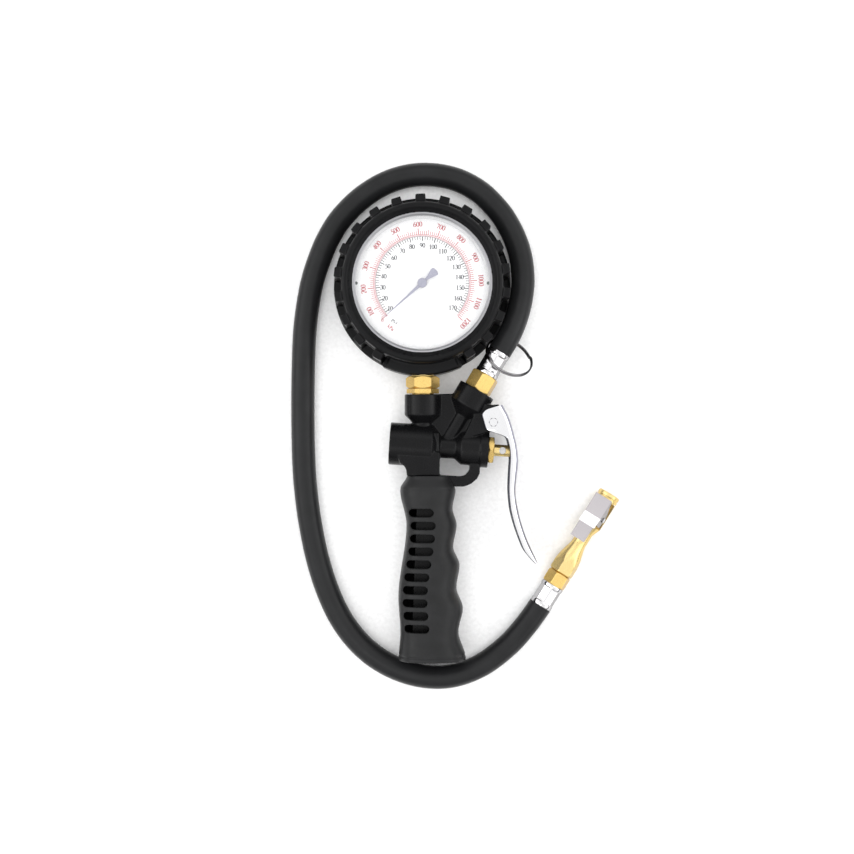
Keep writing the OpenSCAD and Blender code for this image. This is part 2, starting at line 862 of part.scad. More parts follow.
module grip() {
    notch = [[3.3, grip_y[0] + over], [14, grip_y[0] + over], [14, -33.3], [3.3, -33.3]];
    color(dark_grey)
        difference() {
            grip_loft(0, grip_y[0], grip_y[1]);
            grip_loft(grip_wall, grip_y[0] + 0.5, grip_y[1] - 0.5);
            plate(notch, around(4.8));
            for (k = [0 : grip_slots - 1]) grip_slot(slot_first - slot_pitch * k);
        }
}

module grip_end_cap() {
    color(dark_grey)
        grip_loft(grip_wall + 0.15, grip_y[1] + 3.4, grip_y[1] + 0.4, 1.5);
}

// ---- Hose and its fittings ----

module hose_fitting() {
    color(brass)
        on_hose_start()
            difference() {
                union() {
                    rotate([0, 0, 12]) hex_bar(14, [boss_face, -body_ferrule_len], 0.8);
                    rod(hose_bore_r - seat_gap, [boss_face - 8.5, boss_face]);
                    rod(nipple_r, [-body_ferrule_len - over, -0.5]);
                }
                rod(2, [boss_face - 9, 0]);
            }
}

// Crimped ferrule with a collar at each end, its hose face at 0
module ferrule(length) {
    rotate_extrude()
        polygon([[nipple_r + seat_gap, 0], [ferrule_r - 0.3, 0], [ferrule_r, 0.3],
            [ferrule_r, 2.6], [ferrule_r - 0.45, 3.1], [ferrule_r - 0.45, length - 2.4],
            [ferrule_r, length - 1.9], [ferrule_r, length - 0.3], [ferrule_r - 0.3, length],
            [nipple_r + seat_gap, length]]);
}

module body_ferrule() {
    color(chrome)
        on_hose_start() mirror([0, 0, 1]) ferrule(body_ferrule_len);
}

module split_ring() {
    color(steel)
        on_hose_start()
            translate(ring_offset) rotate([-ring_slope, 0, 0]) rotate([90, 0, 0])
                translate([0, 0, -ring_lift / 2])
                    rotate([0, 0, 40])
                        swept_tube(helix(ring_r, 2, ring_lift, 24), ring_wire_r, 8);
}

module hose() {
    path = curve(hose_route, 2);
    color(rubber)
        swept_tube(path, hose_r, 12,
            [sin(hose_tilt), cos(hose_tilt), 0], [sin(chuck_tilt), cos(chuck_tilt), 0]);
}

module chuck_ferrule() {
    color(chrome)
        on_chuck() ferrule(chuck_ferrule_len);
}

module chuck_fitting() {
    color(brass)
        on_chuck()
            difference() {
                union() {
                    rotate([0, 0, 10]) hex_bar(12, [chuck_ferrule_len, chuck_hex_end], 0.6);
                    rod(nipple_r, [0.5, chuck_ferrule_len + over]);
                    rod(4.4, [chuck_hex_end, 27]);
                }
                rod(1.5, [0, 28]);
            }
}

// ---- Clip-on chuck ----

module chuck_outside() {
    intersection() {
        rotate([0, 0, 10]) hex_bar(12.1, [chuck_hex_end, 42], 0.5);
        union() {
            rod(7.2, [chuck_hex_end, 28]);
            cone(7.2, 3.9, [28, 41]);
            rod(3.9, [41, 42]);
        }
    }
    rod(4.1, [40, 48]);
    cone(4.1, head_r, [48, head_z[0]]);
    rod(head_r, head_z);
}

module chuck_body() {
    color(brass)
        difference() {
            on_chuck() chuck_outside();
            on_chuck() {
                rod(4.4 + seat_gap, [chuck_hex_end - over, 27.2]);
                rod(1.5, [27, 61]);
                rod(chuck_bore_r + 0.2, [60, head_z[1] + over]);
            }
            on_clip() {
                for (s = [-1, 1])
                    translate([s * 7 - 3, -2.8, 52.7]) cube([6, 12.9, 15.9]);
                translate([-8, 5.7, 51]) cube([16, 4, 10]);
                translate([-2.8, 3, 65.2]) cube([5.6, 6, 2.9]);
                translate([-10, clip_pin_at[0], clip_pin_at[1]]) rotate([0, 90, 0])
                    cylinder(r = 1 + seat_gap, h = 20);
            }
        }
}

module chuck_nose() {
    color(brass)
        on_chuck()
            difference() {
                union() {
                    rod(5.3, [head_z[1], 69]);
                    rod(6.3, [69, nose_end - 0.5]);
                    cone(6.3, 5.8, [nose_end - 0.5, nose_end]);
                }
                rod(chuck_bore_r, [head_z[1] - over, nose_end + over]);
            }
}

module chuck_seal() {
    color(rubber)
        on_chuck() sleeve(chuck_bore_r + 0.15, 2, [60, 62.2]);
}

module chuck_depressor() {
    color(brass)
        on_chuck() {
            rod(1.9, [60, 61]);
            rod(0.9, [61, 63.4]);
        }
}

module chuck_clip() {
    wall = [[53.6, -0.2], [55, -1.3], [62, -1.3], [66, 3.5], [69.4, 5.6],
        [69.9, clip_top + clip_t], [58.2, clip_top + clip_t], [54.4, 8.4], [53.6, 4]];
    top = [[69.9, clip_top], [58, clip_top], [51.8, 8.8], [52, 8.8 + clip_t],
        [58.2, clip_top + clip_t], [69.9, clip_top + clip_t]];
    thumb_tab = [[52.6, 8.75], [51.8, 8.8], [42.6, 9], [42.6, 9 + clip_t],
        [52, 8.8 + clip_t], [52.6, 9.2]];
    half = clip_in + clip_t;
    color(chrome)
        on_clip()
            difference() {
                union() {
                    for (x = [-half, clip_in]) side_plate(wall, [x, x + clip_t]);
                    side_plate(top, [-half, half]);
                    side_plate(thumb_tab, [-4.4, 4.4]);
                    translate([-2.4, 4.5, 66.5]) cube([4.8, 3, clip_t]);
                }
                translate([-10, clip_pin_at[0], clip_pin_at[1]]) rotate([0, 90, 0])
                    cylinder(r = 1 + running_gap, h = 20);
            }
}

// Plate across X from an outline of [station, height]
module side_plate(outline, x) {
    translate([x[0], 0, 0]) rotate([90, 0, 90])
        linear_extrude(x[1] - x[0]) polygon([for (p = outline) [p[1], p[0]]]);
}

module chuck_clip_pin() {
    color(steel)
        on_clip()
            translate([0, clip_pin_at[0], clip_pin_at[1]]) rotate([0, 90, 0]) {
                rod(1, [-5.4, 5.4]);
                rod(1.5, [-5.8, -5.3]);
                rod(1.5, [5.3, 5.8]);
            }
}

module chuck_clip_spring() {
    color(steel)
        on_clip()
            translate([0, 4.6, 46]) rotate([-90, 0, 0])
                swept_tube(helix(1.4, 4, 3.8, 16), 0.3, 6);
}

gauge_boot();
gauge_case();
case_screws();
gauge_bezel();
gauge_window();
window_gasket();
gauge_dial();
dial_screws();
gauge_pointer();
pinion_arbor();
movement_frame();
sector_gear();
gauge_link();
hairspring();
bourdon_tube();
bourdon_tip();
gauge_socket();
gauge_nut();
gauge_adapter();
valve_body();
inlet_strainer();
valve_spring();
valve_stem();
valve_seal();
stem_oring();
bonnet_nut();
lever();
lever_pin();
grip();
grip_end_cap();
hose_fitting();
body_ferrule();
split_ring();
hose();
chuck_ferrule();
chuck_fitting();
chuck_body();
chuck_nose();
chuck_seal();
chuck_depressor();
chuck_clip();
chuck_clip_pin();
chuck_clip_spring();
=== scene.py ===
import json
import math

import bmesh
import bpy
from mathutils import Matrix, Vector

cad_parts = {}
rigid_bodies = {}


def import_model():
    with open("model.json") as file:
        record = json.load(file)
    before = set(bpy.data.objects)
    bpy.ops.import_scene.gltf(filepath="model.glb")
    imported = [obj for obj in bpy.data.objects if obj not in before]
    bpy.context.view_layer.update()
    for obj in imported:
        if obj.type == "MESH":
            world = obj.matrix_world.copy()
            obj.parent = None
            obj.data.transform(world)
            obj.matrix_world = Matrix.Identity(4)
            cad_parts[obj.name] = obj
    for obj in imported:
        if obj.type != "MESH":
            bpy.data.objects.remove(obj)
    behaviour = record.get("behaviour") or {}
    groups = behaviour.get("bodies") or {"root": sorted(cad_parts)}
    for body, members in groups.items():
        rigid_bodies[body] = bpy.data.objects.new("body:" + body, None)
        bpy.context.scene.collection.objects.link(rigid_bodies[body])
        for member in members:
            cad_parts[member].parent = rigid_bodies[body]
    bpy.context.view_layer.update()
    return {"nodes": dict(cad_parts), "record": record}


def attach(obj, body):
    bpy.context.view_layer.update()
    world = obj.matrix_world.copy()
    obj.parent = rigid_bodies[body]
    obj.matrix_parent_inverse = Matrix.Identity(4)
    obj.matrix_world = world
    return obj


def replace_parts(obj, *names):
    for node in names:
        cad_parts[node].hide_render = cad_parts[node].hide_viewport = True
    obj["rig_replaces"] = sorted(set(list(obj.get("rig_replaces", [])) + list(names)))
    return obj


# Tyre inflator with gauge, lying on its back: +Y from the grip to the gauge, +X towards the
# lever, +Z out of the dial. Lengths are in millimetres until a mesh is made; the camera, the
# lights and the floor are in metres.

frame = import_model()
MM = 0.001
WORLD = Matrix()


def rad(a):
    return math.radians(a)


def move(x, y, z):
    return Matrix.Translation((x * MM, y * MM, z * MM))


def turn(a, axis):
    return Matrix.Rotation(rad(a), 4, axis)


def add_object(name, data, place=WORLD):
    obj = bpy.data.objects.new(name, data)
    obj.matrix_world = place
    bpy.context.scene.collection.objects.link(obj)
    return obj


# ---- Driving places ----

# Height of the body's bores, and of the plane that the dial's heights are measured from
AXIS_Z = 18.8
DIAL_BASE = 1.8
GAUGE_AT = (-6.5, 77.9)
# Centreline of the hose, from the body's ferrule round the gauge and the grip to the chuck
HOSE_R = 6.5
ROUTE = [
    (36, 41, 18.8), (39, 46, 18.8), (42, 51.5, 18.5), (44.5, 57.5, 17.5), (46.6, 64, 15.7),
    (48.2, 71, 13.5), (49.2, 79, 11.2), (49, 87.5, 9.1), (47.8, 95.5, 7.6), (45.3, 103.5, 6.8),
    (41, 112.5, 6.5), (35, 121, 6.5), (24.5, 131, 6.5), (10, 138, 6.5), (-7.5, 140, 6.5),
    (-24, 136.5, 6.5), (-39, 128, 6.5), (-51, 116.5, 6.5), (-58.5, 105, 6.5),
    (-63.5, 93.5, 6.5), (-67.5, 81, 6.5), (-70.2, 67, 6.5), (-72, 51, 6.5),
    (-72.8, 28, 6.5), (-72.9, 2, 6.5), (-72.3, -22, 6.5), (-70.8, -40, 6.5),
    (-68.3, -57, 6.5), (-64.4, -75, 6.5), (-58.5, -93, 6.5), (-50.5, -109, 6.5),
    (-39.5, -122.5, 6.5), (-25.5, -132.5, 6.5), (-8.5, -138.5, 6.5), (9, -139, 6.5),
    (26, -133, 6.5), (41, -121.8, 6.6), (51.5, -110, 6.9), (59, -99.5, 7)]
# Lean of the hose's two ends from +Y, and the clip's place round the chuck
HOSE_TILT, CHUCK_TILT, CLIP_TURN = 30.5, 32, 160
VALVE_AT, VALVE_TILT = (-3.9, -10.7), 3.7
# Stem between the body and the gauge, and the lever's pin
STEM_X = -6.2
PIVOT = (32.2, 2.2)

# Frames: each has its own Z along the part's axis
GAUGE = move(*GAUGE_AT, 0)
DIAL = move(*GAUGE_AT, DIAL_BASE)
STEM = move(STEM_X, 0, AXIS_Z) @ turn(-90, "X")
VALVE = move(*VALVE_AT, AXIS_Z) @ turn(-VALVE_TILT, "Z") @ turn(90, "Y")
HOSE_START = move(*ROUTE[0]) @ turn(-HOSE_TILT, "Z") @ turn(-90, "X")
CHUCK = move(*ROUTE[-1]) @ turn(-CHUCK_TILT, "Z") @ turn(-90, "X")
CLIP = CHUCK @ turn(CLIP_TURN, "Z")

# ---- Camera ----

camera_data = bpy.data.cameras.new("camera")
camera_data.lens = 71.5
camera_data.sensor_width = 36
camera_data.clip_end = 20
camera = add_object("camera", camera_data)
camera.location = (-0.0039, -0.0004, 0.95)
bpy.context.scene.camera = camera


# ---- Materials ----

# Most values of a noise lie between these
MIDDLE = (0.3, 0.7)
# Pointiness of a flat face, and of an outer edge
FLAT, EDGE = 0.52, 0.6


class Nodes:
    """Short calls for building one material."""

    def __init__(self, name):
        self.material = bpy.data.materials.new(name)
        self.material.use_nodes = True
        self.tree = self.material.node_tree
        self.shader = self.tree.nodes["Principled BSDF"]
        self.coords = self.add("ShaderNodeTexCoord").outputs["Object"]

    def add(self, kind, **values):
        node = self.tree.nodes.new(kind)
        for key, value in values.items():
            setattr(node, key, value)
        return node

    def link(self, a, b):
        self.tree.links.new(a, b)

    def stretched(self, scale):
        node = self.add("ShaderNodeMapping")
        node.inputs["Scale"].default_value = scale
        self.link(self.coords, node.inputs["Vector"])
        return node.outputs["Vector"]

    def noise(self, size, detail=3.0, rough=0.55, coords=None):
        """Noise whose blotches are about size millimetres across."""
        node = self.add("ShaderNodeTexNoise")
        node.inputs["Scale"].default_value = 1 / (size * MM)
        node.inputs["Detail"].default_value = detail
        node.inputs["Roughness"].default_value = rough
        self.link(coords or self.coords, node.inputs["Vector"])
        return node.outputs["Fac"]

    def ramp(self, fac, low, high, colour_a, colour_b):
        node = self.add("ShaderNodeValToRGB")
        node.color_ramp.elements[0].position = low
        node.color_ramp.elements[1].position = high
        node.color_ramp.elements[0].color = (*colour_a, 1)
        node.color_ramp.elements[1].color = (*colour_b, 1)
        self.link(fac, node.inputs["Fac"])
        return node.outputs["Color"]

    def mottled(self, fac, colour, darker, paler):
        """The colour times darker where fac is low, and times paler where it is high."""
        return self.ramp(fac, *MIDDLE, shade(colour, darker), shade(colour, paler))

    def span(self, fac, low, high, a=MIDDLE[0], b=MIDDLE[1]):
        """From low to high as fac goes from a to b."""
        node = self.add("ShaderNodeMapRange")
        for key, value in (("From Min", a), ("From Max", b), ("To Min", low), ("To Max", high)):
            node.inputs[key].default_value = value
        self.link(fac, node.inputs["Value"])
        return node.outputs["Result"]

    def mix(self, fac, a, b):
        """Colour a turning to colour b; the node's colours are its sockets 6, 7 and 2."""
        node = self.add("ShaderNodeMix", data_type="RGBA")
        self.link(fac, node.inputs["Factor"])
        self.link(a, node.inputs[6])
        self.link(b, node.inputs[7])
        return node.outputs[2]

    def bump(self, layers):
        """Layers of (height, depth in millimetres), one after the other."""
        normal = None
        for height, depth in layers:
            node = self.add("ShaderNodeBump")
            node.inputs["Strength"].default_value = 1.0
            node.inputs["Distance"].default_value = depth * MM
            self.link(height, node.inputs["Height"])
            if normal:
                self.link(normal, node.inputs["Normal"])
            normal = node.outputs["Normal"]
        self.link(normal, self.shader.inputs["Normal"])

    def edges(self):
        """Zero on flats and 1 on outer edges, from the mesh's own curvature."""
        node = self.add("ShaderNodeNewGeometry")
        return self.span(node.outputs["Pointiness"], 0, 1, FLAT, EDGE)

    def set(self, **values):
        for key, value in values.items():
            self.shader.inputs[key.replace("_", " ")].default_value = value
        return self.material


def shade(colour, k):
    return tuple(min(1.0, c * k) for c in colour)


def coated(name, colour, rough, vary=0.18, size=9.0, grain=0.35, depth=0.02, painted_edge_highlight=1.6, **extra):
    """Paint, powder coat, rubber or plastic: mottled, grained, and paler on its edges, which is
    a painted highlight.
    """
    n = Nodes(name)
    base = n.mottled(n.noise(size, 4), colour, 1 - vary, 1 + vary)
    # Painted highlight: the colour turns paler on the mesh's outer edges.
    painted_highlight_colour = n.ramp(n.noise(1.2, 2), 0.35, 0.75, colour, shade(colour, painted_edge_highlight))
    n.link(n.mix(n.edges(), base, painted_highlight_colour), n.shader.inputs["Base Color"])
    n.link(n.span(n.noise(size * 0.4, 4), rough * 0.86, min(1, rough * 1.14)),
           n.shader.inputs["Roughness"])
    n.bump([(n.noise(grain, 3), depth), (n.noise(grain * 12, 2), depth * 1.5)])
    n.set(Specular_IOR_Level=0.22)
    return n.set(**extra)


def metal(name, colour, rough, vary=0.06, lines=(1, 1, 24), depth=0.004, size=0.8,
          stain=None, painted_reflection=None, painted_reflection_from=0.04, painted_reflection_to=0.3, **extra):
    """Turned, rolled or plated metal with fine lines across its own Z.

    The colour given for the turned-away sides is a painted dark reflection, laid on where the
    surface turns away from the view.
    """
    n = Nodes(name)
    brushed = n.stretched(lines)
    fine = n.noise(size, 4, 0.6, brushed)
    base = n.mottled(fine, colour, 1 - vary, 1 + vary)
    if stain:
        other = n.ramp(n.noise(3.0, 4), 0.4, 0.8, colour, stain)
        base = n.mix(n.span(n.noise(6.0, 3), 0, 0.5, 0.4, 0.75), base, other)
    # Painted dark reflection: the colour darkens towards the sides that turn away from the view.
    if painted_reflection:
        away = n.add("ShaderNodeLayerWeight").outputs["Facing"]
        side = n.mottled(fine, painted_reflection, 1 - vary, 1 + vary)
        base = n.mix(n.span(away, 0, 1, painted_reflection_from, painted_reflection_to), base, side)
    n.link(base, n.shader.inputs["Base Color"])
    n.link(n.span(fine, rough * 0.8, rough * 1.25), n.shader.inputs["Roughness"])
    n.bump([(fine, depth), (n.noise(5.0, 2), depth * 2)])
    n.set(Metallic=1.0)
    return n.set(**extra)


def plain(name, colour, rough, **extra):
    """Print or a small trim part: faint blotches in colour and gloss."""
    n = Nodes(name)
    fac = n.noise(2.0, 3)
    n.link(n.mottled(fac, colour, 0.94, 1.05), n.shader.inputs["Base Color"])
    n.link(n.span(fac, rough * 0.9, rough * 1.1), n.shader.inputs["Roughness"])
    n.bump([(n.noise(0.5, 2), 0.002)])
    return n.set(**extra)


MATERIAL = {
    # The coated finishes here carry a painted highlight on their edges.
    "boot_rubber": coated("boot_rubber", (0.0048, 0.0049, 0.0053), 0.36, depth=0.012, painted_edge_highlight=2.6,
                          Specular_IOR_Level=0.14),
    "case_steel": metal("case_steel", (0.62, 0.62, 0.63), 0.3),
    "bezel_steel": metal("bezel_steel", (0.5, 0.5, 0.52), 0.35, lines=(1, 1, 4)),
    "window_glass": plain("window_glass", (0.95, 0.97, 1.0), 0.05, Alpha=0.06),
    "dial_white": plain("dial_white", (0.77, 0.77, 0.775), 0.5),
    "screw_black": plain("screw_black", (0.03, 0.05, 0.04), 0.4),
    "pointer_grey": plain("pointer_grey", (0.23, 0.23, 0.3), 0.5),
    # Metals with a colour for their turned-away sides carry a painted dark reflection there.
    "brass": metal("brass", (0.92, 0.71, 0.31), 0.26, stain=(0.84, 0.62, 0.22),
                   painted_reflection=(0.5, 0.33, 0.07), painted_reflection_from=0.12, painted_reflection_to=0.9, Metallic=0.88),
    "spring_steel": metal("spring_steel", (0.6, 0.6, 0.6), 0.3),
    "seal_rubber": coated("seal_rubber", (0.02, 0.02, 0.02), 0.5),
    "casting_black": coated("casting_black", (0.0042, 0.0042, 0.0046), 0.27, grain=0.4,
                            depth=0.012, painted_edge_highlight=2.4, Specular_IOR_Level=0.165),
    "lever_chrome": metal("lever_chrome", (0.93, 0.93, 0.945), 0.08, vary=0.02, lines=(1, 1, 1),
                          depth=0.002, size=6.0, painted_reflection=(0.29, 0.29, 0.36), painted_reflection_to=0.34),
    "ferrule_chrome": metal("ferrule_chrome", (0.84, 0.83, 0.84), 0.12, vary=0.03, depth=0.003,
                            painted_reflection=(0.16, 0.155, 0.16), painted_reflection_from=0.12, painted_reflection_to=0.8),
    "clip_chrome": metal("clip_chrome", (0.47, 0.445, 0.46), 0.24, vary=0.05, lines=(18, 1, 1),
                         painted_reflection=(0.2, 0.19, 0.2), painted_reflection_from=0.05, painted_reflection_to=0.4),
    "ring_steel": metal("ring_steel", (0.4, 0.39, 0.4), 0.16, painted_reflection=(0.05, 0.05, 0.055),
                        painted_reflection_from=0.03, painted_reflection_to=0.3),
    "grip_plastic": coated("grip_plastic", (0.0125, 0.0127, 0.0132), 0.42, grain=0.3,
                           depth=0.014, painted_edge_highlight=1.5),
    "hose_rubber": coated("hose_rubber", (0.0115, 0.0118, 0.0125), 0.38, grain=0.45,
                          size=14.0, depth=0.012, painted_edge_highlight=1.2),
}
# Dark chrome laid where chrome lies in shade or faces dark surroundings: painted shade and
# painted dark reflection.
PAINTED_DARK_CHROME = metal("painted_dark_chrome", (0.09, 0.09, 0.11), 0.3, lines=(1, 1, 1))
# Pale chrome for the clip's bend, a painted highlight.
CLIP_PAINTED_HIGHLIGHT = metal("painted_highlight_bend", (0.98, 0.97, 0.97), 0.2, lines=(18, 1, 1))
# This brass also carries a painted dark reflection on its turned-away sides.
DEEP_BRASS = metal("brass_deep", (0.86, 0.6, 0.2), 0.28, stain=(0.76, 0.5, 0.14),
                   painted_reflection=(0.46, 0.28, 0.06), painted_reflection_from=0.12, painted_reflection_to=0.9, Metallic=0.76)
# The lip's rubber also carries a painted highlight on its edges.
BOOT_LIP = coated("boot_lip", (0.006, 0.006, 0.0065), 0.3, depth=0.008, painted_edge_highlight=1.2,
                  Specular_IOR_Level=0.1)
PRINT_RED = plain("print_red", (0.45, 0.09, 0.1), 0.5)
PRINT_BLACK = plain("print_black", (0.03, 0.03, 0.035), 0.5)
PRINT_FAINT = plain("print_faint", (0.5, 0.5, 0.52), 0.5)


# ---- Mesh tools ----

def edited(mesh, change):
    """Runs change on the mesh, opened for editing."""
    bm = bmesh.new()
    bm.from_mesh(mesh)
    change(bm)
    bm.to_mesh(mesh)
    bm.free()


def shade_all(mesh, smooth=True):
    for face in mesh.polygons:
        face.use_smooth = smooth


def add_mesh(name, points, faces, place=WORLD, smooth=True):
    """A mesh object from millimetres in the frame of place."""
    mesh = bpy.data.meshes.new(name)
    mesh.from_pydata([[c * MM for c in p] for p in points], [], faces)
    edited(mesh, lambda bm: bmesh.ops.recalc_face_normals(bm, faces=bm.faces))
    shade_all(mesh, smooth)
    return add_object(name, mesh, place)


def apply_modifiers(obj):
    """Leaves the object with the mesh that its modifiers make."""
    bpy.context.view_layer.update()
    graph = bpy.context.evaluated_depsgraph_get()
    mesh = bpy.data.meshes.new_from_object(obj.evaluated_get(graph))
    obj.modifiers.clear()
    obj.data = mesh


def sharp_by_angle(obj, degrees):
    """Keeps corners crisper than degrees from being shaded as round."""
    def mark(bm):
        for edge in bm.edges:
            edge.smooth = len(edge.link_faces) != 2 or edge.calc_face_angle(0) < rad(degrees)
    edited(obj.data, mark)


def bevelled(obj, width, segments, degrees):
    """Rounds the edges that are crisper than degrees."""
    bevel = obj.modifiers.new("bevel", "BEVEL")
    bevel.width = width * MM
    bevel.segments = segments
    bevel.limit_method = "ANGLE"
    bevel.angle_limit = rad(degrees)
    apply_modifiers(obj)
    shade_all(obj.data)


def moulded(obj, voxel, rounds):
    """One skin over everything in the object, with its edges softened."""
    skin = obj.modifiers.new("remesh", "REMESH")
    skin.mode = "VOXEL"
    skin.voxel_size = voxel * MM
    skin.use_smooth_shade = True
    soft = obj.modifiers.new("smooth", "SMOOTH")
    soft.iterations = rounds
    soft.factor = 0.6
    apply_modifiers(obj)
    shade_all(obj.data)
    return obj


def joined(name, parts, place=WORLD):
    """One object from several, its mesh in the frame of place."""
    bm = bmesh.new()
    back = place.inverted()
    for part in parts:
        mesh = part.data.copy()
        mesh.transform(back @ part.matrix_world)
        bm.from_mesh(mesh)
        bpy.data.meshes.remove(mesh)
        bpy.data.objects.remove(part)
    mesh = bpy.data.meshes.new(name)
    bm.to_mesh(mesh)
    bm.free()
    return add_object(name, mesh, place)


def cad_copy(node, name):
    """Copy of a CAD node, its doubled corners merged."""
    source = frame["nodes"][node]
    obj = add_object(name, source.data.copy(), source.matrix_world)
    edited(obj.data, lambda bm: bmesh.ops.remove_doubles(bm, verts=bm.verts, dist=0.001 * MM))
    return obj


def merge_flats(bm):
    """Makes one face of the triangles that lie in one plane."""
    bmesh.ops.dissolve_limit(bm, angle_limit=rad(0.6), verts=bm.verts, edges=bm.edges)


def cut(obj, cutter):
    hole = obj.modifiers.new("cut", "BOOLEAN")
    hole.operation = "DIFFERENCE"
    hole.solver = "EXACT"
    hole.object = cutter
    apply_modifiers(obj)
    bpy.data.objects.remove(cutter)


def finish_piece(obj, body, slot, *nodes, material=None):
    """Sets the piece's look, the body that it rides on and the CAD nodes that it replaces."""
    obj.data.materials.clear()
    obj.data.materials.append(material or MATERIAL[slot])
    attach(obj, body)
    if nodes:
        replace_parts(obj, *nodes)
    return obj


def second_finish(obj, material, chosen):
    """Gives material to the faces for which chosen(centre in mm, normal) holds."""
    obj.data.materials.append(material)
    for face in obj.data.polygons:
        if chosen(face.center / MM, face.normal):
            face.material_index = 1


# Steps round a turned part, and round a small corner
SIDES, CORNER_STEPS = 96, 3


def loft(rings, ends="capped"):
    """Skin over rings with the same number of points; its ends are capped, joined or open."""
    n, count = len(rings[0]), len(rings)
    points = [p for ring in rings for p in ring]
    faces = []
    for i in range(count if ends == "joined" else count - 1):
        a, b = i * n, (i + 1) % count * n
        faces += [[a + k, a + (k + 1) % n, b + (k + 1) % n, b + k] for k in range(n)]
    if ends == "capped":
        faces += [list(range(n)), list(range((count - 1) * n, count * n))[::-1]]
    return points, faces


def polar(r, a, z):
    """Point at a radius and an angle in radians."""
    return r * math.cos(a), r * math.sin(a), z


def circle(r, z, sides):
    return [polar(r, 2 * math.pi * k / sides, z) for k in range(sides)]


def lathe(profile, sides=SIDES, ends="joined"):
    """Skin of (radius, height) turned about Z."""
    return loft([circle(r, z, sides) for r, z in profile], ends)


def hexagon(flat, limit, z, turned):
    """Hexagon with flats at a radius of flat, its corners turned off at limit."""
    ring = []
    for k in range(SIDES):
        a = 2 * math.pi * k / SIDES
        local = (a - rad(turned)) % rad(60) - rad(30)
        ring.append(polar(min(flat / math.cos(local), limit), a, z))
    return ring


def rounded(profile, radius):
    """A closed profile with each corner turned into a small arc."""
    out = []
    count = len(profile)
    for i, here in enumerate(profile):
        p = Vector(here)
        a = Vector(profile[i - 1]) - p
        b = Vector(profile[(i + 1) % count]) - p
        reach = min(radius, a.length * 0.45, b.length * 0.45)
        start, end = p + a.normalized() * reach, p + b.normalized() * reach
        for k in range(CORNER_STEPS + 1):
            t = k / CORNER_STEPS
            out.append(tuple((1 - t) ** 2 * start + 2 * t * (1 - t) * p + t * t * end))
    return out


def ribbon(path, widths, z):
    """Flat strip along a path of (x, y), at height z."""
    points, faces = [], []
    for i, p in enumerate(path):
        ahead = Vector(path[min(i + 1, len(path) - 1)]) - Vector(path[max(i - 1, 0)])
        side = Vector((-ahead.y, ahead.x)).normalized() * widths[i] / 2
        points += [(p[0] + side.x, p[1] + side.y, z), (p[0] - side.x, p[1] - side.y, z)]
    faces = [[2 * i, 2 * i + 1, 2 * i + 3, 2 * i + 2] for i in range(len(path) - 1)]
    return points, faces


def catmull(points, steps):
    """Smooth curve through the points, with a number of steps from each to the next."""
    out = []
    for i in range(len(points) - 1):
        a, b = Vector(points[max(i - 1, 0)]), Vector(points[i])
        c, d = Vector(points[i + 1]), Vector(points[min(i + 2, len(points) - 1)])
        for k in range(steps):
            t = k / steps
            out.append(0.5 * (2 * b + (c - a) * t + (2 * a - 5 * b + 4 * c - d) * t * t
                              + (3 * b - a - 3 * c + d) * t ** 3))
    out.append(Vector(points[-1]))
    return out


# ---- Hose ----

hose_line = catmull(ROUTE, 6)
hose_curve = bpy.data.curves.new("rubber_hose", "CURVE")
hose_curve.dimensions = "3D"
spline = hose_curve.splines.new("POLY")
spline.points.add(len(hose_line) - 1)
for point, p in zip(spline.points, hose_line):
    point.co = (p.x * MM, p.y * MM, p.z * MM, 1)
spline.use_smooth = True
hose_curve.bevel_depth = HOSE_R * MM
hose_curve.bevel_resolution = 9
hose_curve.use_fill_caps = True
hose = add_object("rubber_hose", hose_curve)
finish_piece(hose, "body", "hose_rubber", "hose")


# ---- Fittings and ferrules ----

def hex_nut(across, z0, z1, chamfer, bore, turned=0.0):
    """Hexagon with a bore, its corners turned off, and its flats too when chamfer is over 1."""
    flat = across / 2
    corner = flat / math.cos(rad(30))
    reach = (corner - flat) * chamfer
    limits = [(z0 + 0.75 * reach * t, corner - reach * (1 - t))
              for t in (0, 0.12, 0.3, 0.5, 0.75, 1.0)]
    limits += [(z1 - (z - z0), r) for z, r in reversed(limits)]
    outer = [hexagon(flat, limit, z, turned) for z, limit in limits]
    return loft(outer + [circle(bore, z1, SIDES), circle(bore, z0, SIDES)], "joined")


def tube(r_out, r_in, z0, z1):
    return lathe(rounded([(r_in, z0), (r_out, z0), (r_out, z1), (r_in, z1)], 0.15))


def fitting(name, node, place, *parts):
    """Brass piece of (points, faces) parts that touch."""
    objs = []
    for i, part in enumerate(parts):
        obj = add_mesh(f"{name}_{i}", *part, place)
        sharp_by_angle(obj, 24)
        objs.append(obj)
    return finish_piece(joined(name, objs, place), "body", "brass", node, material=DEEP_BRASS)


BODY_FERRULE, CHUCK_FERRULE = 14.8, 13.6
# Stations of each hexagon along its own frame, and the bore through each fitting
ADAPTER_HEX, GAUGE_HEX, GLAND_HEX = (18, 20.5), (20.6, 27.6), (33.8, 36.7)
UNION_HEX, CHUCK_HEX = (-24.4, -BODY_FERRULE), (CHUCK_FERRULE, 20.9)
ADAPTER_BORE, GLAND_BORE, UNION_BORE, CHUCK_BORE = 1.5, 3.27, 2, 1.5
# The nipple inside each ferrule, and how far a tube runs into the hexagon beside it
NIPPLE_R = 3.9
LAP = 0.05

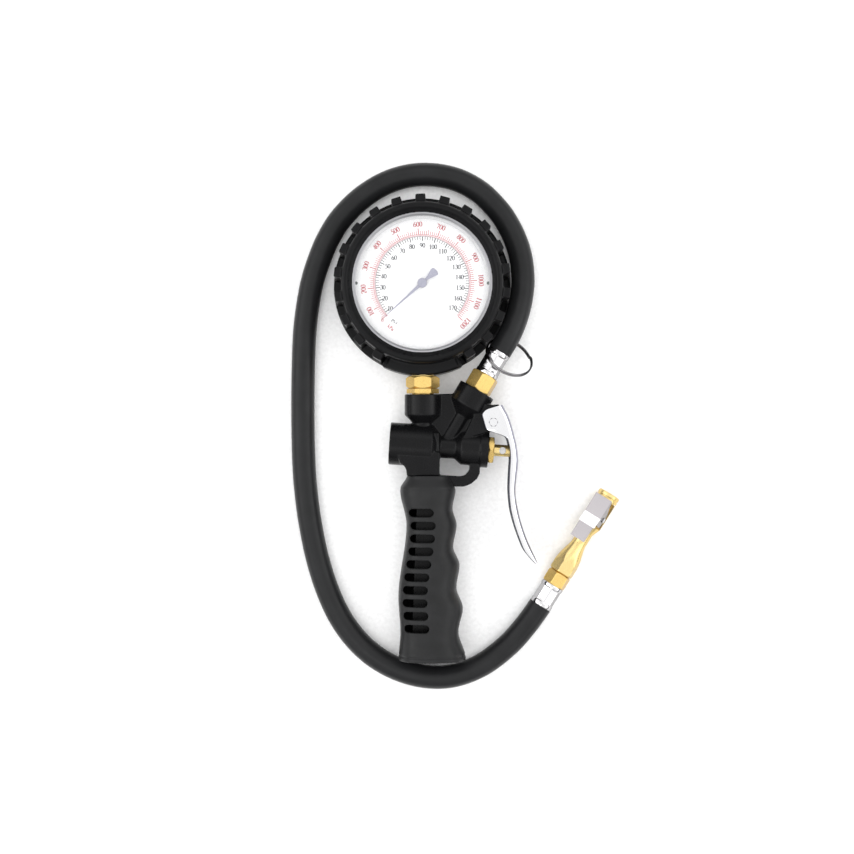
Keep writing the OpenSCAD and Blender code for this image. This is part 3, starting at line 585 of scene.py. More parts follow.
fitting("gauge_union_nut", "gauge_nut", STEM,
        hex_nut(16, *GAUGE_HEX, chamfer=1.35, bore=5.06))
fitting("gauge_adapter_fitting", "gauge_adapter", STEM,
        hex_nut(15.4, *ADAPTER_HEX, chamfer=0.25, bore=ADAPTER_BORE),
        tube(6, ADAPTER_BORE, 7.7, ADAPTER_HEX[0] + LAP),
        tube(5, ADAPTER_BORE, ADAPTER_HEX[1] - LAP, 23.8))
fitting("bonnet_gland_nut", "bonnet_nut", VALVE,
        hex_nut(14, *GLAND_HEX, chamfer=1.0, bore=GLAND_BORE),
        tube(6.15, GLAND_BORE, 24, GLAND_HEX[0] + LAP))
fitting("hose_union", "hose_fitting", HOSE_START,
        hex_nut(14, *UNION_HEX, chamfer=0.9, bore=UNION_BORE, turned=17),
        tube(6.95, UNION_BORE, -32.9, UNION_HEX[0] + LAP),
        tube(NIPPLE_R, UNION_BORE, UNION_HEX[1] - 1, -0.5))
chuck_union = fitting("chuck_union", "chuck_fitting", CHUCK,
                      hex_nut(12, *CHUCK_HEX, chamfer=0.9, bore=CHUCK_BORE, turned=10),
                      tube(NIPPLE_R, CHUCK_BORE, 0.5, CHUCK_HEX[0] + LAP),
                      tube(4.4, CHUCK_BORE, CHUCK_HEX[1] - LAP, 27))

# Crimped sleeve: radii of its bore, collars and waist, and of the pressed panels round it
FERRULE_BORE, COLLAR, WAIST = 3.95, 6.44, 6.02
PANELS, PANEL_FLAT, PANEL_CORNER = 8, 5.78, 6.16
FERRULE_SIDES = 128
# Station, radius and how far the panels are pressed in. The last collar's stations start
# LAST_COLLAR_LEN before the sleeve's end.
RIM = [(0.0, FERRULE_BORE, 0), (0.0, 6.1, 0), (0.08, 6.3, 0), (0.3, COLLAR, 0)]
FIRST_COLLAR = [(2.3, COLLAR, 0), (2.55, 6.35, 0.1), (2.8, 6.12, 0.6), (3.1, WAIST, 1)]
LAST_COLLAR = [(0, WAIST, 1), (0.25, 6.12, 0.6), (0.5, 6.35, 0.1), (0.7, COLLAR, 0)]
LAST_COLLAR_LEN = 2.6


def panel_radius(a):
    """Radius of the pressed panels at an angle in radians."""
    local = a % (2 * math.pi / PANELS) - math.pi / PANELS
    return min(PANEL_FLAT / math.cos(local), PANEL_CORNER)


def ferrule(name, length, node, place, way):
    """Sleeve with a collar at each end and pressed panels between; way is 1 or -1 along Z."""
    waist, span = FIRST_COLLAR[-1][0], length - LAST_COLLAR_LEN
    outline = RIM + FIRST_COLLAR
    outline += [(waist + (span - waist) * t, WAIST, 1) for t in (0.15, 0.3, 0.5, 0.7, 0.85)]
    outline += [(span + z, r, pressed) for z, r, pressed in LAST_COLLAR]
    outline += [(length - z, r, pressed) for z, r, pressed in reversed(RIM)]
    angles = [2 * math.pi * k / FERRULE_SIDES for k in range(FERRULE_SIDES)]
    rows = [[polar(r + pressed * (panel_radius(a) - r), a, way * z) for a in angles]
            for z, r, pressed in outline]
    obj = add_mesh(name, *loft(rows, "joined"), place)
    sharp_by_angle(obj, 46)
    return finish_piece(obj, "body", "ferrule_chrome", node)


hose_ferrule = ferrule("hose_end_ferrule", BODY_FERRULE, "body_ferrule", HOSE_START, -1)
tool_ferrule = ferrule("chuck_end_ferrule", CHUCK_FERRULE, "chuck_ferrule", CHUCK, 1)


# ---- Split ring ----

RING_R, RING_WIRE_R = 13.3, 0.5
RING_TURNS, RING_RISE = 2, 2.08
# How far its middle is to the side of the ferrule's axis, its lean, and where the wire starts
RING_SIDE, RING_SLOPE, RING_START = 6, 46, 40


def helix(radius, turns, rise, steps):
    return [polar(radius, rad(360 * k / steps), rise * k / (turns * steps))
            for k in range(turns * steps + 1)]


def swept(path, radius, sides):
    """Wire of a given radius along a path, narrowed at its two ends."""
    rings = []
    count = len(path)
    for i, p in enumerate(path):
        p = Vector(p)
        along = (Vector(path[min(i + 1, count - 1)]) - Vector(path[max(i - 1, 0)])).normalized()
        side = Vector((0, 0, 1)).cross(along).normalized()
        top = along.cross(side)
        r = radius * (0.55 if i in (0, count - 1) else 1)
        rings.append([tuple(p + side * r * math.cos(2 * math.pi * k / sides)
                            + top * r * math.sin(2 * math.pi * k / sides))
                      for k in range(sides)])
    return loft(rings)


RING = (HOSE_START @ move(RING_SIDE, 0, 0) @ turn(-RING_SLOPE, "X") @ turn(90, "X")
        @ move(0, 0, -RING_RISE / 2) @ turn(RING_START, "Z"))
ring_path = helix(RING_R, RING_TURNS, RING_RISE, 72)
ring = add_mesh("split_ring_wire", *swept(ring_path, RING_WIRE_R, 14), RING)
finish_piece(ring, "ring", "ring_steel", "split_ring")

# ---- Gauge boot ----

BOOT_PROFILE = [
    (31.5, 0), (48.6, 0), (49.4, 0.8), (49.4, 3.3), (48.8, 4), (44.6, 4.3), (43.9, 5.2),
    (43.9, 33.1), (43.5, 35.1), (42.3, 36.3), (41.2, 36.3), (40.4, 35.9), (39.6, 35),
    (38.6, 34.3), (37.8, 33.9), (37.8, 33.1), (41, 33.1), (41, 4.4), (31.5, 4.4)]
# Grip blocks round the wall, the first just past the top, with none beside the gauge's neck
BLOCK_PLACES, BLOCK_GAPS, BLOCK_FIRST = 22, (10, 11, 12), 1.2
# Blocks and pads start inside the wall, at a radius of ROOT_R
ROOT_R = 41.9
BLOCK_R, BLOCK_HALF, BLOCK_Z = 48.1, 3, (3, 32.8)
FOOT_R, FOOT_HALF, FOOT_Z = 48.8, 3.4, (2, 8)
# Two bands over the neck: outer radius, half angle and top
NECK_PADS = {"pad": (50.2, 26, 25.4), "pad_step": (49.5, 23.5, 26.8)}
PAD_BOTTOM = 0.8
RIB_R, RIB_ROOT_R, RIBS_Z = 44.6, 43, ((14, 15.4), (22, 23.4))
# Hole for the gauge's neck: radius, stations from the gauge's axis, and offset to its side
NECK_HOLE_R, NECK_HOLE, NECK_OFF = 7, (-50, -30), 0.3
# The lip over the case has a finish of its own
LIP_R, LIP_Z = 40.7, 30


def tapered_box(x0, x1, half, z0, z1, taper):
    """Box from x0 to x1, narrower by taper at x1."""
    points = []
    for z, rise in ((z0, taper), (z1, -taper)):
        points += [(x0, -half, z), (x1, taper - half, z + rise), (x1, half - taper, z + rise),
                   (x0, half, z)]
    faces = [[0, 1, 2, 3], [4, 5, 6, 7]]
    faces += [[k, (k + 1) % 4, (k + 1) % 4 + 4, k + 4] for k in range(4)]
    return points, faces


def arc_band(r_in, r_out, a0, a1, z0, z1, steps=36):
    """Band of a square section round Z, from angle a0 to a1."""
    rings = []
    for k in range(steps + 1):
        a = rad(a0 + (a1 - a0) * k / steps)
        rings.append([polar(r, a, z)
                      for r, z in ((r_in, z0), (r_out, z0), (r_out, z1), (r_in, z1))])
    return loft(rings)


def gauge_boot():
    """Rubber cup round the case, moulded in one with its blocks, pads and ribs."""
    parts = [add_mesh("boot_wall", *lathe(rounded(BOOT_PROFILE, 0.5), 180), GAUGE)]
    for k in range(BLOCK_PLACES):
        if k in BLOCK_GAPS:
            continue
        here = GAUGE @ turn(90 + BLOCK_FIRST - 360 / BLOCK_PLACES * k, "Z")
        block = tapered_box(ROOT_R, BLOCK_R, BLOCK_HALF, *BLOCK_Z, taper=0.3)
        foot = tapered_box(ROOT_R, FOOT_R, FOOT_HALF, *FOOT_Z, taper=0.6)
        parts += [add_mesh(f"block_{k}", *block, here), add_mesh(f"foot_{k}", *foot, here)]
    for name, (radius, half, top) in NECK_PADS.items():
        pad = arc_band(ROOT_R, radius, -90 - half, -90 + half, PAD_BOTTOM, top)
        parts.append(add_mesh(name, *pad, GAUGE))
    side = NECK_PADS["pad"][1]
    for z0, z1 in RIBS_Z:
        rib = arc_band(RIB_ROOT_R, RIB_R, -90 + side, 270 - side, z0, z1, 150)
        parts.append(add_mesh(f"rib_{z0}", *rib, GAUGE))
    boot = moulded(joined("gauge_rubber_boot", parts), 0.5, 3)
    near, far = NECK_HOLE
    hole = lathe([(0.01, near), (NECK_HOLE_R, near), (NECK_HOLE_R, far), (0.01, far)], 64)
    cut(boot, add_mesh("hole", *hole, GAUGE @ move(NECK_OFF, 0, AXIS_Z) @ turn(-90, "X")))
    finish_piece(boot, "body", "boot_rubber", "gauge_boot")
    second_finish(boot, BOOT_LIP,
                  lambda c, n: c.z > LIP_Z and math.dist(c.xy, GAUGE_AT) < LIP_R)


gauge_boot()

# ---- Dial print and pointer ----

# Widths of a figure's strokes, on the grid of FIGURES
THIN, THICK = 0.5, 1.25


def oval(cx, cy, rx, ry, a0, a1, steps=14):
    """Arc of a pen that is thick on upright strokes and thin on level ones."""
    out = []
    for k in range(steps + 1):
        a = rad(a0 + (a1 - a0) * k / steps)
        out.append((cx + rx * math.cos(a), cy + ry * math.sin(a),
                    THIN + (THICK - THIN) * abs(math.cos(a))))
    return out


def bar(x0, y0, x1, y1, width):
    return [(x0, y0, width), (x1, y1, width)]


# Strokes of each figure on a grid FIGURE_W wide and FIGURE_H high
FIGURE_W, FIGURE_H, FIGURE_STEP = 6, 10, 5.9
FIGURES = {
    "0": [oval(3, 5, 2.2, 4.6, 0, 360, 28)],
    "1": [bar(1.4, 8.3, 3.3, 9.6, THIN), bar(3.3, 9.9, 3.3, 0.3, THICK),
          bar(1.7, 0.3, 4.9, 0.3, THIN)],
    "2": [oval(2.9, 7.2, 2.1, 2.5, 170, -30) + [(3.2, 3.2, 0.9), (0.8, 0.6, 0.7)],
          bar(0.7, 0.5, 5.3, 0.5, 1.0)],
    "3": [oval(2.8, 7.5, 1.9, 2.1, 160, -80), oval(2.7, 2.9, 2.4, 2.6, 85, -155)],
    "4": [bar(4, 9.7, 0.6, 3.2, THIN), bar(0.4, 3, 5.7, 3, 0.8), bar(4.1, 9.8, 4.1, 0.1, THICK)],
    "5": [bar(1.7, 9.3, 5, 9.3, 1.0), bar(1.7, 9.3, 1.2, 5.5, THIN),
          oval(2.5, 3.3, 2.5, 3, 110, -140)],
    "6": [[(4.9, 9.6, THIN), (2.3, 7.8, 0.9), (0.9, 4.6, THICK), (0.9, 3, THICK)],
          oval(3, 3, 2.1, 2.7, 180, -180, 22)],
    "7": [bar(0.8, 9.2, 5.3, 9.2, 1.0), bar(5.2, 9.2, 2.3, 0.1, 0.8)],
    "8": [oval(3, 7.4, 1.8, 2.2, 0, 360, 22), oval(3, 2.7, 2.1, 2.5, 0, 360, 22)],
    "9": [[(1.1, 0.4, THIN), (3.7, 2.2, 0.9), (5.1, 5.4, THICK), (5.1, 7, THICK)],
          oval(3, 7, 2.1, 2.7, 0, 360, 22)],
    "k": [bar(1.2, 9.8, 1.2, 0.2, THICK), bar(4.9, 6.2, 1.3, 3, THIN), bar(2.4, 3.9, 5, 0.2, 1)],
    "P": [bar(1.5, 9.4, 1.5, 0.2, THICK), bar(0.5, 0.2, 2.9, 0.2, THIN),
          oval(1.6, 7, 3.4, 2.4, 90, -90)],
    "a": [oval(2.6, 2, 2, 1.8, 0, 360, 18), bar(4.7, 4.4, 4.7, 0.2, THICK),
          oval(2.8, 4.4, 1.9, 1.6, 150, 0)],
    "p": [bar(1.3, 6, 1.3, -3, THICK), oval(3, 3, 2, 2.8, 0, 360, 18)],
    "s": [oval(2.9, 4.5, 1.6, 1.5, 40, 250), oval(2.9, 1.7, 1.8, 1.5, 80, -140)],
    "i": [bar(3, 5.8, 3, 0.2, THICK), bar(3, 8.4, 3, 7.4, THICK)],
}
DIAL_TOP = 25.2


def on_dial(radius, angle):
    """Place at an angle clockwise from the top."""
    a = rad(90 - angle)
    return radius * math.cos(a), radius * math.sin(a)


class Print:
    """Collects flat strokes of one ink into one piece."""

    def __init__(self, z):
        self.z = DIAL_TOP + z
        self.points, self.faces = [], []

    def add(self, path, widths):
        points, faces = ribbon(path, widths, self.z)
        base = len(self.points)
        self.points += points
        self.faces += [[base + i for i in f] for f in faces]

    def line(self, angle, r0, r1, width):
        self.add([on_dial(r, angle) for r in (r0, r1)], (width, width))

    def ring(self, radius, width, start, end, steps=160):
        path = [on_dial(radius, start + (end - start) * k / steps) for k in range(steps + 1)]
        self.add(path, [width] * len(path))

    def word(self, text, x, y, height, ink, turned=0, squeeze=1):
        """Squeeze narrows the figures and ink widens their strokes."""
        size = height / FIGURE_H
        c, s = math.cos(rad(turned)), math.sin(rad(turned))
        start = -FIGURE_STEP * len(text) / 2 + (FIGURE_STEP - FIGURE_W) / 2
        for i, figure in enumerate(text):
            for stroke in FIGURES[figure]:
                flat = []
                for u, v, w in stroke:
                    u = (u + start + i * FIGURE_STEP) * size * squeeze
                    v = (v - FIGURE_H / 2) * size
                    flat.append((x + u * c - v * s, y + u * s + v * c))
                self.add(flat, [w * size * ink for u, v, w in stroke])

    def make(self, name, material):
        obj = add_mesh(name, self.points, self.faces, DIAL, smooth=False)
        for face in obj.data.polygons:
            if face.normal.z < 0:
                face.flip()
        return finish_piece(obj, "body", "dial_white", material=material)


# Degrees clockwise from the top: where each scale would be zero, and its degrees for one unit
KPA_ZERO, PER_KPA = -141.6, 0.2287
PSI_ZERO, PER_PSI = -144.2, 1.607
# The pointer's stop, marked 0 in kPa
STOP = -132
STOP_TICK_R, STOP_FIGURE_R = 25.8, 29.6
KPA_RAILS, KPA_TICK_R, KPA_FIGURES_R = (25.85, 26.45), 26.5, 32.1
KPA_LONG, KPA_MIDDLE, KPA_SHORT = 29.9, 29.1, 28.4
PSI_RAIL, PSI_LONG, PSI_SHORT = 25.4, 22.9, 23.6
# The psi figures stand upright, and farther out for each step towards the scale's ends
PSI_FIGURES_R, PSI_OUT_LOW, PSI_OUT_HIGH = 20.6, 0.32, 0.25
# Widths of the long ticks and of the others
KPA_BOLD, KPA_FINE, PSI_BOLD, PSI_FINE = 0.5, 0.34, 0.52, 0.36
# Heights of the figures and of the smaller words
KPA_HEIGHT, PSI_HEIGHT, SMALL_HEIGHT = 2.8, 2.6, 2.1
PSI_WORD_AT, KPA_WORD_AT, WORD_TURN = (-14.7, -20.7), (-17.0, -24.2), -40
BORDER_R, BORDER_ENDS = 35.2, (-60, 70)


def kpa_scale(red):
    """Outer scale to 1200, with a tick for each 10."""
    for radius in KPA_RAILS:
        red.ring(radius, 0.3, STOP - 1.5, KPA_ZERO + PER_KPA * 1200)
    for k in range(5, 121):
        long = k % 10 == 0
        r_out = KPA_LONG if long else KPA_MIDDLE if k % 5 == 0 else KPA_SHORT
        red.line(KPA_ZERO + PER_KPA * 10 * k, KPA_TICK_R, r_out, KPA_BOLD if long else KPA_FINE)
    red.line(STOP, STOP_TICK_R, KPA_LONG, KPA_BOLD)
    red.word("0", *on_dial(STOP_FIGURE_R, STOP - 1), SMALL_HEIGHT, ink=1.6)
    for k in range(1, 13):
        a = KPA_ZERO + PER_KPA * 100 * k
        red.word(str(100 * k), *on_dial(KPA_FIGURES_R, a), KPA_HEIGHT, ink=1.75, turned=-a)


def psi_scale(black):
    """Inner scale from 10 to 170, with a tick for each 2."""
    black.ring(PSI_RAIL, 0.2, PSI_ZERO + PER_PSI * 9, PSI_ZERO + PER_PSI * 170)
    for k in range(5, 86):
        long = k % 5 == 0
        black.line(PSI_ZERO + PER_PSI * 2 * k, PSI_LONG if long else PSI_SHORT, PSI_RAIL,
                   PSI_BOLD if long else PSI_FINE)
    for k in range(1, 18):
        r = PSI_FIGURES_R + PSI_OUT_LOW * max(0, 6 - k) + PSI_OUT_HIGH * max(0, k - 14)
        black.word(str(10 * k), *on_dial(r, PSI_ZERO + PER_PSI * 10 * k), PSI_HEIGHT, ink=1.7,
                   squeeze=0.98)


def dial_print():
    """Each ink at a height of its own above the dial."""
    red, black, faint = Print(0.03), Print(0.04), Print(0.02)
    kpa_scale(red)
    psi_scale(black)
    black.word("psi", *PSI_WORD_AT, SMALL_HEIGHT, ink=1.5, turned=WORD_TURN)
    red.word("kPa", *KPA_WORD_AT, SMALL_HEIGHT, ink=1.5, turned=WORD_TURN)
    faint.ring(BORDER_R, 0.2, *BORDER_ENDS)
    red.make("dial_scale_red", PRINT_RED)
    black.make("dial_scale_black", PRINT_BLACK)
    faint.make("dial_border", PRINT_FAINT)


dial_print()

# Half of the needle's outline from its point to its tail, and the hub's section
NEEDLE = [(27.5, 0.1), (20, 0.26), (12, 0.48), (5, 0.78), (2.4, 0.95), (-2.2, 0.75),
          (-3.6, 0.85), (-6, 1.5), (-8.4, 2.25), (-9.5, 2.3), (-10, 1.7), (-10.25, 0.8)]
NEEDLE_Z = (27.0, 27.45)
HUB = [(0.01, 26.6), (2.4, 26.6), (2.6, 26.9), (2.6, 27.6), (2.3, 27.95), (1.4, 28.1),
       (0.01, 28.15)]


def slab(outline, z0, z1):
    return loft([[(x, y, z) for x, y in outline] for z in (z0, z1)])


def pointer():
    """Needle with a domed hub and a flared counterweight."""
    here = DIAL @ turn(90 - STOP, "Z")
    blade = slab(NEEDLE + [(x, -y) for x, y in reversed(NEEDLE)], *NEEDLE_Z)
    hub = lathe(HUB, 48, "open")
    obj = joined("gauge_needle", [add_mesh("blade", *blade, here, smooth=False),
                                  add_mesh("hub", *hub, here)], here)
    sharp_by_angle(obj, 30)
    finish_piece(obj, "pointer", "pointer_grey", "gauge_pointer")


pointer()

# ---- Valve body ----

# Webs between the bosses: outline, and how far above and below the bores' plane they reach
WEBS = [
    ([(-1.2, -3.6), (2.6, -3.6), (3, -14), (-1.2, -14)], 8.4),
    ([(22.2, 7), (28, 10.4), (35, 11.2), (35.2, 7), (31, -2), (22.6, -4)], 6.8)]


def valve_body():
    """The casting, its bosses blended into each other."""
    parts = [cad_copy("valve_body", "casting")]
    for i, (outline, half) in enumerate(WEBS):
        parts.append(add_mesh(f"web_{i}", *slab(outline, AXIS_Z - half, AXIS_Z + half)))
    body = moulded(joined("valve_casting", parts), 0.42, 5)
    finish_piece(body, "body", "casting_black", "valve_body")


valve_body()

# ---- Lever ----

# Points along the outer edge, each with the point across from it on the inner edge
LEVER_EDGES = [
    ((37, 11.7), (35.4, 11.2)), ((37.3, 11.5), (32.2, 10.3)), ((38, 10.2), (28.5, 9.1)),
    ((39.2, 8), (26.6, 7.6)), ((40.1, 6.2), (26, 6)), ((41.4, 2.9), (26.8, 3)),
    ((42.6, -1), (27.8, -0.5)), ((43, -2.4), (28.7, -1.9)), ((43.4, -4), (31.8, -3.2)),
    ((43.9, -6), (36.6, -4.7)), ((44.4, -8), (39.3, -6.2)), ((44.9, -10.3), (40.4, -9.2)),
    ((45.5, -14.5), (41.2, -13.6)), ((45.8, -18.6), (41.3, -18.4)),
    ((45.5, -23), (41, -23)), ((45, -27), (40.8, -27)),
    ((44.5, -31.5), (40.6, -31.5)), ((44.3, -35.5), (40.6, -36)),
    ((44.7, -40), (41, -41)), ((45.5, -44.5), (41.6, -45.8)),
    ((46.6, -49.5), (42.9, -51.2)), ((48.2, -55), (44.5, -56.6)),
    ((50.2, -60.8), (46.6, -62.4)), ((52.3, -65.6), (48.7, -67.4)),
    ((54.2, -69.8), (51.2, -70.9)), ((55.6, -72.9), (53.4, -73.3)),
    ((56.2, -74.4), (55, -74.8))]
LEVER_Z = (9.3, 28.3)
# Thickness of the sheet, radius of its bends, and rounding of its free edges
LEVER_T, LEVER_BEND, LEVER_EDGE_R = 1.2, 2.6, 0.45


def channel_ring(out, across, arc=6):
    """Section of the lever between an outer and an inner point."""
    out, across = Vector(out), Vector(across)
    width = (across - out).length
    way = (across - out) / width
    z0, z1 = LEVER_Z
    bend = min(LEVER_BEND, width * 0.6)
    t = min(LEVER_T, width * 0.45)
    edge = min(LEVER_EDGE_R, 0.5 * t)
    inner_bend = max(bend - t, 0.05)
    turns = [rad(90 * k / arc) for k in range(arc + 1)]
    # Lower halves of the skin and of the inside, each from the free edge round the bend
    skin = [(width - edge + edge * math.sin(a), z0 + edge - edge * math.cos(a))
            for a in (rad(90), rad(60), rad(30), 0)]
    skin += [(bend - bend * math.sin(a), z0 + bend - bend * math.cos(a)) for a in turns]
    inside = [(width, z0 + t)]
    inside += [(t + inner_bend - inner_bend * math.sin(a),
                z0 + t + inner_bend - inner_bend * math.cos(a)) for a in turns]
    skin += [(u, z0 + z1 - z) for u, z in reversed(skin)]
    inside += [(u, z0 + z1 - z) for u, z in reversed(inside)]
    return [(out.x + way.x * u, out.y + way.y * u, z) for u, z in skin + inside[::-1]]


def lever():
    """Channel of bent sheet: two side plates, joined round the outer edge."""
    outs = catmull([a for a, b in LEVER_EDGES], 4)
    ins = catmull([b for a, b in LEVER_EDGES], 4)
    obj = add_mesh("finger_lever", *loft([channel_ring(a, b) for a, b in zip(outs, ins)]))
    sharp_by_angle(obj, 35)
    finish_piece(obj, "lever", "lever_chrome", "lever")
    # The free edge of the upper plate gets a painted dark reflection, and the inside of the
    # lower one painted shade
    middle = sum(LEVER_Z) / 2
    second_finish(obj, PAINTED_DARK_CHROME, lambda c, n: (0.15 < n.z < 0.97 and n.x < -0.15)
                  or (n.z > 0.5 and c.z < middle))


lever()

# The heads stand off the lever's plates, and the shank fills the space between the plates
HEAD_GAP, SHANK_IN, SHANK_R = 0.1, 1.5, 1.95
HEAD_R, HEAD_T, PEENED_ACROSS, PEENED_T = 2.4, 0.7, 4.4, 0.9


def lever_pin():
    """Rivet with a flat head at each end, the upper one peened to six sides."""
    z0, z1 = LEVER_Z[0] - HEAD_GAP, LEVER_Z[1] + HEAD_GAP
    here = move(*PIVOT, 0)
    shank = lathe([(0.01, z0 + SHANK_IN), (SHANK_R, z0 + SHANK_IN), (SHANK_R, z1 - SHANK_IN),
                   (0.01, z1 - SHANK_IN)], 48)
    peened = hex_nut(PEENED_ACROSS, z1, z1 + PEENED_T, chamfer=1.2, bore=0.02)
    flat = lathe(rounded([(0.01, z0 - HEAD_T), (HEAD_R, z0 - HEAD_T), (HEAD_R, z0),
                          (0.01, z0)], 0.2), 48)
    obj = joined("lever_rivet", [add_mesh(f"rivet_{i}", *part, here)
                                 for i, part in enumerate((shank, peened, flat))], here)
    sharp_by_angle(obj, 30)
    finish_piece(obj, "body", "lever_chrome", "lever_pin")
    # The sides of the peened head get a painted dark reflection.
    second_finish(obj, PAINTED_DARK_CHROME, lambda c, n: c.z > z1 and n.z < 0.97)


lever_pin()

# ---- Grip ----

# Left edge, right edge and half thickness at the stations where they turn, going down
GRIP_LEFT = [(-27, -14.9), (-34.5, -18.7), (-54, -15.2), (-94, -19.6), (-113, -18.5),
             (-127.8, -19.5)]
GRIP_RIGHT = [(-27, 8.8), (-35, 11.8), (-45, 10.1), (-54, 12.4), (-66.2, 10.5), (-76, 14),
              (-88.5, 12.3), (-99.7, 15.8), (-112.5, 13.4), (-127.8, 17.5)]
GRIP_HALF = [(-27, 12), (-35, 14.8), (-54, 14.6), (-94, 16.2), (-112, 15.9), (-127.8, 18.7)]
GRIP_Y = (-27.0, -127.8)
# Power of the superellipse that each section is
GRIP_SQUARE = 2.5
GRIP_WALL, GRIP_END = 2.6, 0.5
# Slots through the front, from the top one down; their middles are SLOT_INSET from the left
SLOT_LEN, SLOT_H, SLOT_INSET = 13.5, 4.3, 9.2
SLOTS, SLOT_FIRST, SLOT_STEP = 10, -47, 6.97
# Opening in the side where the body's guard arm goes in: outline, and half its height
NOTCH, NOTCH_HALF = [(3.3, -26), (14, -26), (14, -33.3), (3.3, -33.3)], 4.8
# Seam above the end and shoulder below the collar: place, width and depth
GROOVES = ((-125.2, 0.45, 0.42), (-34.2, 0.5, 0.16))


def eased(y, table):
    """Value at y of a table of stations, level at each of them."""
    spans = zip(table, table[1:])
    (y0, a), (y1, b) = next((span for span in spans if y >= span[1][0]), table[-2:])
    t = min(1, max(0, (y - y0) / (y1 - y0)))
    return a + (b - a) * t * t * (3 - 2 * t)


def superellipse(angle):
    """Place on a unit superellipse."""
    c, s = math.cos(angle), math.sin(angle)
    return [math.copysign(abs(u) ** (2 / GRIP_SQUARE), u) for u in (c, s)]


def grip_ring(y, inset, sides):
    """Section of the grip at y, inset from its skin."""
    left, right = eased(y, GRIP_LEFT) + inset, eased(y, GRIP_RIGHT) - inset
    half = eased(y, GRIP_HALF) - inset
    middle, wide = (left + right) / 2, (right - left) / 2
    return [(middle + wide * u, y, AXIS_Z + half * v)
            for u, v in (superellipse(2 * math.pi * k / sides) for k in range(sides))]


def grip_loft(inset, y0, y1, rows, sides):
    return loft([grip_ring(y0 + (y1 - y0) * k / rows, inset, sides) for k in range(rows + 1)])


def slot_cutter(y, name):
    """Round-ended slot through the front of the grip."""
    reach = (SLOT_LEN - SLOT_H) / 2
    r = SLOT_H / 2
    x = eased(y, GRIP_LEFT) + SLOT_INSET
    outline = [(x + side * (reach + r * math.cos(rad(a))), y + side * r * math.sin(rad(a)))
               for side in (1, -1) for a in range(-90, 91, 15)]
    return add_mesh(name, *slab(outline, AXIS_Z, AXIS_Z + 25))


def groove(mesh, at, width, depth):
    """Presses the grip's skin in, round the station at."""
    for v in mesh.vertices:
        y = v.co.y / MM
        push = depth * math.exp(-((y - at) / width) ** 2)
        if push > 0.01:
            middle = (eased(y, GRIP_LEFT) + eased(y, GRIP_RIGHT)) / 2
            out = Vector((v.co.x / MM - middle, v.co.z / MM - AXIS_Z)).normalized()
            v.co.x -= out.x * push * MM
            v.co.z -= out.y * push * MM


def grip():
    """Hollow shell with slots in its front."""
    top, bottom = GRIP_Y
    shell = add_mesh("grip_handle", *grip_loft(0, top, bottom, 90, 72))
    cut(shell, add_mesh("hollow", *grip_loft(GRIP_WALL, top + GRIP_END, bottom - GRIP_END,
                                             40, 48)))
    cut(shell, add_mesh("notch", *slab(NOTCH, AXIS_Z - NOTCH_HALF, AXIS_Z + NOTCH_HALF)))
    cut(shell, joined("slots", [slot_cutter(SLOT_FIRST - SLOT_STEP * k, f"slot_{k}")
                                for k in range(SLOTS)]))
    moulded(shell, 0.45, 3)
    for at, width, depth in GROOVES:
        groove(shell.data, at, width, depth)
    finish_piece(shell, "body", "grip_plastic", "grip")


grip()

# ---- Chuck ----

# Station, half the distance across the flats, and largest radius
CHUCK_BARREL = [(20.95, 5.2, 5.4), (21.3, 5.7, 6.2), (21.8, 6.2, 6.8), (22.5, 6.2, 7.16),
                (25.5, 6.2, 7.16), (27.5, 6.2, 7.0), (29.5, 6.2, 6.7), (31.5, 6.2, 6.3),
                (33.5, 6.2, 5.8), (35.5, 6.2, 5.25), (37.5, 6.2, 4.7), (39.5, 6.2, 4.25),
                (41.05, 6.2, 4.08)]
# Where the barrel meets the slotted head, which comes from the CAD part
HEAD_FROM = 41


def keep_head(bm):
    """Cuts the CAD part's own barrel off below the head and closes the cut."""
    merge_flats(bm)
    bmesh.ops.bisect_plane(bm, geom=bm.verts[:] + bm.edges[:] + bm.faces[:],
                           plane_co=(0, 0, HEAD_FROM * MM), plane_no=(0, 0, 1),
                           clear_inner=True)
    bmesh.ops.holes_fill(bm, edges=[e for e in bm.edges if e.is_boundary])


def chuck_body():
    """Machined from hexagon bar, with a turned neck and a slotted head."""
    head = joined("head", [cad_copy("chuck_body", "chuck_raw")], CHUCK)
    edited(head.data, keep_head)
    sharp_by_angle(head, 24)
    barrel = add_mesh("barrel", *loft([hexagon(flat, limit, z, turned=10)
                                       for z, flat, limit in CHUCK_BARREL]), CHUCK)
    sharp_by_angle(barrel, 15)
    finish_piece(joined("chuck_barrel", [head, barrel], CHUCK), "body", "brass", "chuck_body")


chuck_body()

NOSE_PROFILE = [
    (4.1, 68.6), (5.3, 68.6), (5.3, 69), (6.3, 69), (6.3, 70.2), (6, 70.5),
    (6, 70.9), (6.3, 71.2), (6.3, 72.7), (5.8, 73.2), (4.1, 73.2)]
nose = add_mesh("chuck_nose_ring", *lathe(rounded(NOSE_PROFILE, 0.12)), CHUCK)
sharp_by_angle(nose, 50)
finish_piece(nose, "body", "brass", "chuck_nose")

# The clip's bend carries a painted highlight between these stations
BEND_Z = (52, 58)


def clip():
    """Folded plates of the thumb clip, crisp at each fold."""
    obj = joined("chuck_thumb_clip", [cad_copy("chuck_clip", "clip_raw")], CLIP)
    edited(obj.data, merge_flats)
    bevelled(obj, 0.2, 2, 40)
    sharp_by_angle(obj, 8)
    finish_piece(obj, "clip", "clip_chrome", "chuck_clip")
    # Faces of the bend that face the local +Y get a painted highlight.
    second_finish(obj, CLIP_PAINTED_HIGHLIGHT, lambda c, n: BEND_Z[0] < c.z < BEND_Z[1] and n.y > 0.5)


clip()

# ---- CAD nodes that stay, with their own finishes ----

